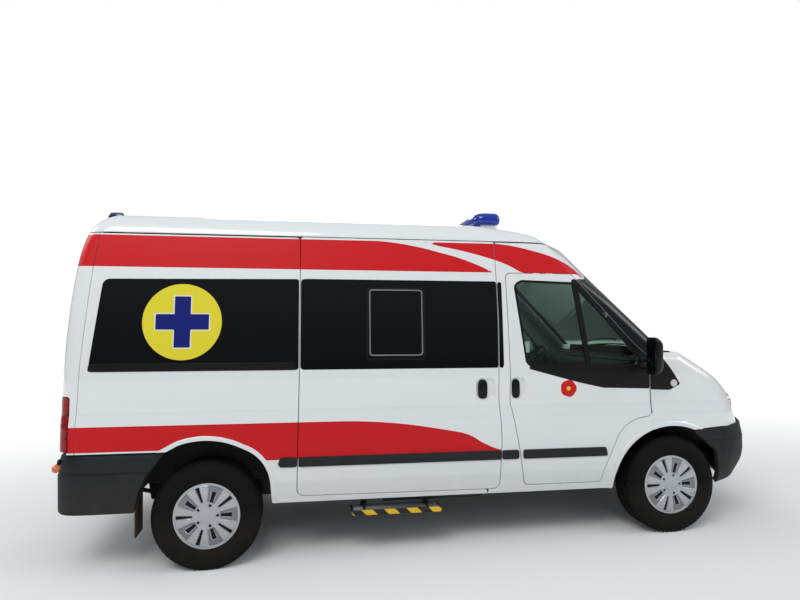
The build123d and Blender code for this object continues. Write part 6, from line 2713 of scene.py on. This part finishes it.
@dataclass
class Cab:
    """What is seen through the cab windows."""

    seat_y: float = 470.0
    hub: tuple[float, float, float] = (2790.0, 470.0, 1210.0)
    column_deg: float = 40.0
    rim_radius: float = 184.0

    def seats(self) -> None:
        """Both front seats with their bases, head-rest stems and belts."""
        for side in Side:
            y, tag = self.seat_y * side.value, side.tag
            obj = Piece(f"seat_pads_{tag}", "body", FINISH.get("cloth"), ("seats",), "seat_fabric").make(
                Seat(y).pads())
            base = slab(outline([(2240, 552), (2600, 552), (2580, 850), (2250, 850)], 20), right_face(y), -188, 188,
                        12, 0)
            shell = slab(outline([(2180, 868), (2600, 868), (2640, 900), (2240, 905), (2196, 960), (2110, 1360),
                                  (2096, 1355), (2160, 960)], 10), right_face(y), -205, 205, 8, 0)
            stems = [tube([(2142, y + off, 1470), (2138, y + off, 1575)], 6, 10, 1) for off in (-50, 50)]
            Piece(f"seat_base_{tag}", "body", FINISH.get("trim", "steel"), ("seats",), "grey_trim").make(
                together(base, shell, *stems))
            out = side.value
            belt = [(2112 - 20 * k + 30 * math.sin(2.6 * k), out * (868 - 26 * k), 720 + 860 * k)
                    for k in np.linspace(0, 1, 14)]
            ribbon = loft([[(x - 1, yy, z), (x + 1, yy, z), (x + 1, yy + 1, z), (x + 22, yy + out * 3, z + 1),
                            (x + 22, yy + out * 4.5, z + 1), (x - 1, yy + 2.0, z)] for x, yy, z in belt])
            Piece(f"belt_{tag}", "body", FINISH.get("belt"), (), "seat_fabric").make(ribbon)

    def dashboard(self) -> None:
        """The dashboard with its instrument hood, vents and column."""
        rows = [(3060, 1010), (2950, 1012), (2904, 1060), (2884, 1150), (2890, 1210, 2930, 1262), (3120, 1290),
                (3330, 1292), (3378, 1242), (3086, 1200)]
        body = slab(outline(rows, [10, 24, 30, 0, 20, 40, 12, 10, 10], 8), right_face(0), -858, 858, 10, 0)
        hood_rings = []
        for y in np.linspace(280, 660, 15):
            s = math.sin(math.pi * (y - 280) / 380) ** 0.5
            hood_rings.append([(2900, y, 1240), (2885 - 8 * s, y, 1252 + 28 * s), (2930, y, 1262 + 44 * s),
                               (3030, y, 1274 + 28 * s), (3100, y, 1282)])
        hood = loft(hood_rings)
        vents = [lathe([(0, -6), (34, -6), (42, 6), (38, 9), (34, 4), (0, 2)], (2890, y, 1196), (-1, 0, 0.25), 32, 1)
                 for y in (-740, -180, 140, 780)]
        screen = slab(rounded(200, 110, 10, (0, 1130)), rear_face(2884), -6, 5, 2, 1)
        boss = lathe([(0, 40), (44, 40), (50, 20), (44, -70), (0, -70)], (2830, 470, 1176), (-0.766, 0, 0.643), 32, 0)
        Piece("dashboard", "body", FINISH.get("trim", "black"), ("dashboard",), "grey_trim").make(
            together(body, hood, *vents, screen, boss))

    def steering_wheel(self) -> None:
        """The steering wheel: a padded rim with four spokes and a round boss."""
        hub, tilt = np.array(self.hub), math.radians(self.column_deg)
        out = np.array([-math.cos(tilt), 0, math.sin(tilt)])
        u = np.array([0.0, 1.0, 0.0])
        v = np.cross(out, u)
        rim = tube([hub + self.rim_radius * (math.cos(t) * u + math.sin(t) * v) for t in around(64)], 14.5, 14, 0,
                   True)
        boss = lathe([(0, -18), (48, -18), (62, -4), (58, 12), (36, 20), (0, 22)], hub, out, 48, 0)
        spokes = []
        for t in (0.15, math.pi - 0.15, math.pi * 1.32, math.pi * 1.68):
            way = math.cos(t) * u + math.sin(t) * v
            path = [hub + way * 44 - out * 4, hub + way * 110 - out * 7, hub + way * 180]
            spokes.append(tube(path, 15, 12, 0, flat=0.45))
        Piece("steering_wheel", "steering_column", FINISH.get("trim"), ("steering_wheel",), "black_plastic").make(
            together(rim, boss, *spokes))

    def build(self) -> None:
        """Make the cab."""
        self.seats()
        self.dashboard()
        self.steering_wheel()


NODE_FINISHES = {
    "floor": "floor", "chassis": "chassis", "wheel_houses": "floor", "bulkhead": "headlining", "cowl": "black",
    "engine": "cast", "radiator": "cast", "fuel_tank": "chassis", "exhaust": "steel", "front_subframe": "chassis",
    "rear_axle": "chassis", "knuckle_left": "cast", "knuckle_right": "cast",
}


def dress_nodes() -> None:
    """Give the carried-over CAD nodes their finishes."""
    for node, finish in NODE_FINISHES.items():
        obj = frame["nodes"][node]
        obj.data.materials.clear()
        obj.data.materials.append(FINISH.get(finish)[0])
        log.info("%s: finished in %s", node, finish)


WHITE = (1.0, 1.0, 1.0, 1.0)


@dataclass
class Stage:
    """The studio: a pale floor, soft lamps, a white backdrop and the camera."""

    eye_m: tuple[float, float, float] = (-1.017, -5.065, 1.571)
    yaw_deg: float = -9.46
    pitch_deg: float = 2.30
    roll_deg: float = -1.13
    lens_mm: float = 27.05
    floor_half_m: float = 40.0

    def camera(self) -> None:
        """Set the camera where the picture was taken from."""
        data = bpy.data.cameras.new("picture_camera")
        data.lens = self.lens_mm
        data.clip_start = 0.05
        data.clip_end = 200
        obj = new_object("picture_camera", data)
        yaw, pitch, roll = (math.radians(v) for v in (self.yaw_deg, self.pitch_deg, self.roll_deg))
        right = Vector((math.cos(yaw), math.sin(yaw), 0))
        ahead = Vector((-math.sin(yaw), math.cos(yaw), 0))
        up = Vector((0, 0, 1))
        look = ahead * math.cos(pitch) + up * math.sin(pitch)
        top = up * math.cos(pitch) - ahead * math.sin(pitch)
        x = right * math.cos(roll) + top * math.sin(roll)
        y = top * math.cos(roll) - right * math.sin(roll)
        turn = Matrix((x, y, -look)).transposed().to_4x4()
        obj.matrix_world = Matrix.Translation(self.eye_m) @ turn
        bpy.context.scene.camera = obj

    def lamp(self, name: str, place: tuple, aim: tuple, size: float, watts: float, colour: tuple) -> None:
        """Hang one soft lamp.

        Args:
            name: Name of the lamp.
            place: Where it hangs, in metres.
            aim: What it points at, in metres.
            size: Its longer side, in metres.
            watts: How strong it is.
            colour: Its linear colour.
        """
        data = bpy.data.lights.new(name, "AREA")
        data.shape = "RECTANGLE"
        data.size, data.size_y = size, size * 0.6
        data.energy = watts
        data.color = colour
        obj = new_object(name, data)
        obj.location = place
        obj.rotation_euler = (Vector(aim) - Vector(place)).to_track_quat("-Z", "Y").to_euler()

    def world(self) -> None:
        """A white backdrop for the eye, and a softer sky for what lights and mirrors in the van."""
        world = bpy.data.worlds.new("studio")
        bpy.context.scene.world = world
        tree = blank_tree(world)
        place = add_node(tree, "ShaderNodeTexCoord").outputs["Generated"]
        height = add_node(tree, "ShaderNodeSeparateXYZ", {"Vector": place}).outputs["Z"]
        ramp = add_node(tree, "ShaderNodeMapRange", {"Value": height, "From Min": -0.1, "From Max": 0.6,
                                                     "To Min": 0.38, "To Max": 0.76})
        low = add_node(tree, "ShaderNodeMapRange", {"Value": height, "From Min": 0.0, "From Max": 0.7,
                                                    "To Min": 0.16, "To Max": 0.75})
        sky = add_node(tree, "ShaderNodeBackground", {"Color": linear("#F4F7FA"), "Strength": ramp.outputs["Result"]})
        mirrored = add_node(tree, "ShaderNodeBackground", {"Color": linear("#EEF3F8"),
                                                           "Strength": low.outputs["Result"]})
        white = add_node(tree, "ShaderNodeBackground", {"Color": WHITE, "Strength": 1.0})
        path = add_node(tree, "ShaderNodeLightPath")
        lit = add_node(tree, "ShaderNodeMixShader", {0: path.outputs["Is Glossy Ray"], 1: sky.outputs[0],
                                                     2: mirrored.outputs[0]})
        seen = add_node(tree, "ShaderNodeMixShader", {0: path.outputs["Is Camera Ray"], 1: lit.outputs[0],
                                                      2: white.outputs[0]})
        add_node(tree, "ShaderNodeOutputWorld", {"Surface": seen.outputs[0]})

    def floor(self) -> None:
        """A pale floor that keeps the shadow."""
        data = bpy.data.meshes.new("studio_floor")
        r = self.floor_half_m
        data.from_pydata([(-r, -r, 0), (r, -r, 0), (r, r, 0), (-r, r, 0)], [], [(0, 1, 2, 3)])
        obj = new_object("studio_floor", data)
        data.materials.append(self.floor_paint())

    def floor_paint(self) -> bpy.types.Material:
        """Matt floor paint that fades into the white backdrop away from the van.

        Returns:
            The material.
        """
        material = bpy.data.materials.new("studio_floor_pale")
        tree = blank_tree(material)
        place = add_node(tree, "ShaderNodeTexCoord").outputs["Object"]
        flat = add_node(tree, "ShaderNodeVectorMath", {0: place, 1: (0.62, 1.0, 0.0)}, operation="MULTIPLY")
        away = add_node(tree, "ShaderNodeVectorMath", {0: flat.outputs["Vector"]}, operation="LENGTH")
        share = add_node(tree, "ShaderNodeMapRange", {"Value": away.outputs["Value"], "From Min": 2.2,
                                                      "From Max": 5.5}, interpolation_type="SMOOTHSTEP")
        matt = add_node(tree, "ShaderNodeBsdfDiffuse", {"Color": linear("#E2E3E4"), "Roughness": 0.6})
        white = add_node(tree, "ShaderNodeEmission", {"Color": WHITE, "Strength": 1.0})
        mix = add_node(tree, "ShaderNodeMixShader", {0: share.outputs["Result"], 1: matt.outputs[0],
                                                     2: white.outputs[0]})
        add_node(tree, "ShaderNodeOutputMaterial", {"Surface": mix.outputs[0]})
        return material

    def build(self) -> None:
        """Set up everything."""
        bpy.context.scene.view_settings.view_transform = "Standard"
        self.world()
        self.floor()
        self.lamp("key", (-3.0, -7.0, 7.0), (0.2, 0, 1.0), 5.0, 285, (1.0, 0.98, 0.95))
        self.lamp("front", (7.5, -4.0, 5.0), (1.5, 0, 1.0), 4.0, 130, (0.95, 0.98, 1.0))
        self.lamp("far", (0.0, 8.0, 7.0), (0.0, 0, 1.0), 6.0, 220, (0.97, 0.98, 1.0))
        self.lamp("rear", (-8.0, 1.5, 5.5), (-1.5, 0, 1.0), 4.0, 130, (1.0, 0.99, 0.97))
        self.camera()


def main() -> None:
    """Build the van, piece by piece, and set the stage."""
    logging.basicConfig(level=logging.INFO, format="%(message)s")
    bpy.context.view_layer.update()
    shell = Shell()
    shell.build()
    for builder in (Glazing(shell.zones, shell.skin), Trim(shell.zones, shell.skin), Bumpers(shell.zones),
                    Lamps(shell.zones, shell.skin), RoadWheel(Ring()), Mirrors(), Wipers(), Cab()):
        builder.build()
    dress_nodes()
    Stage().build()


if __name__ == "__main__":
    main()
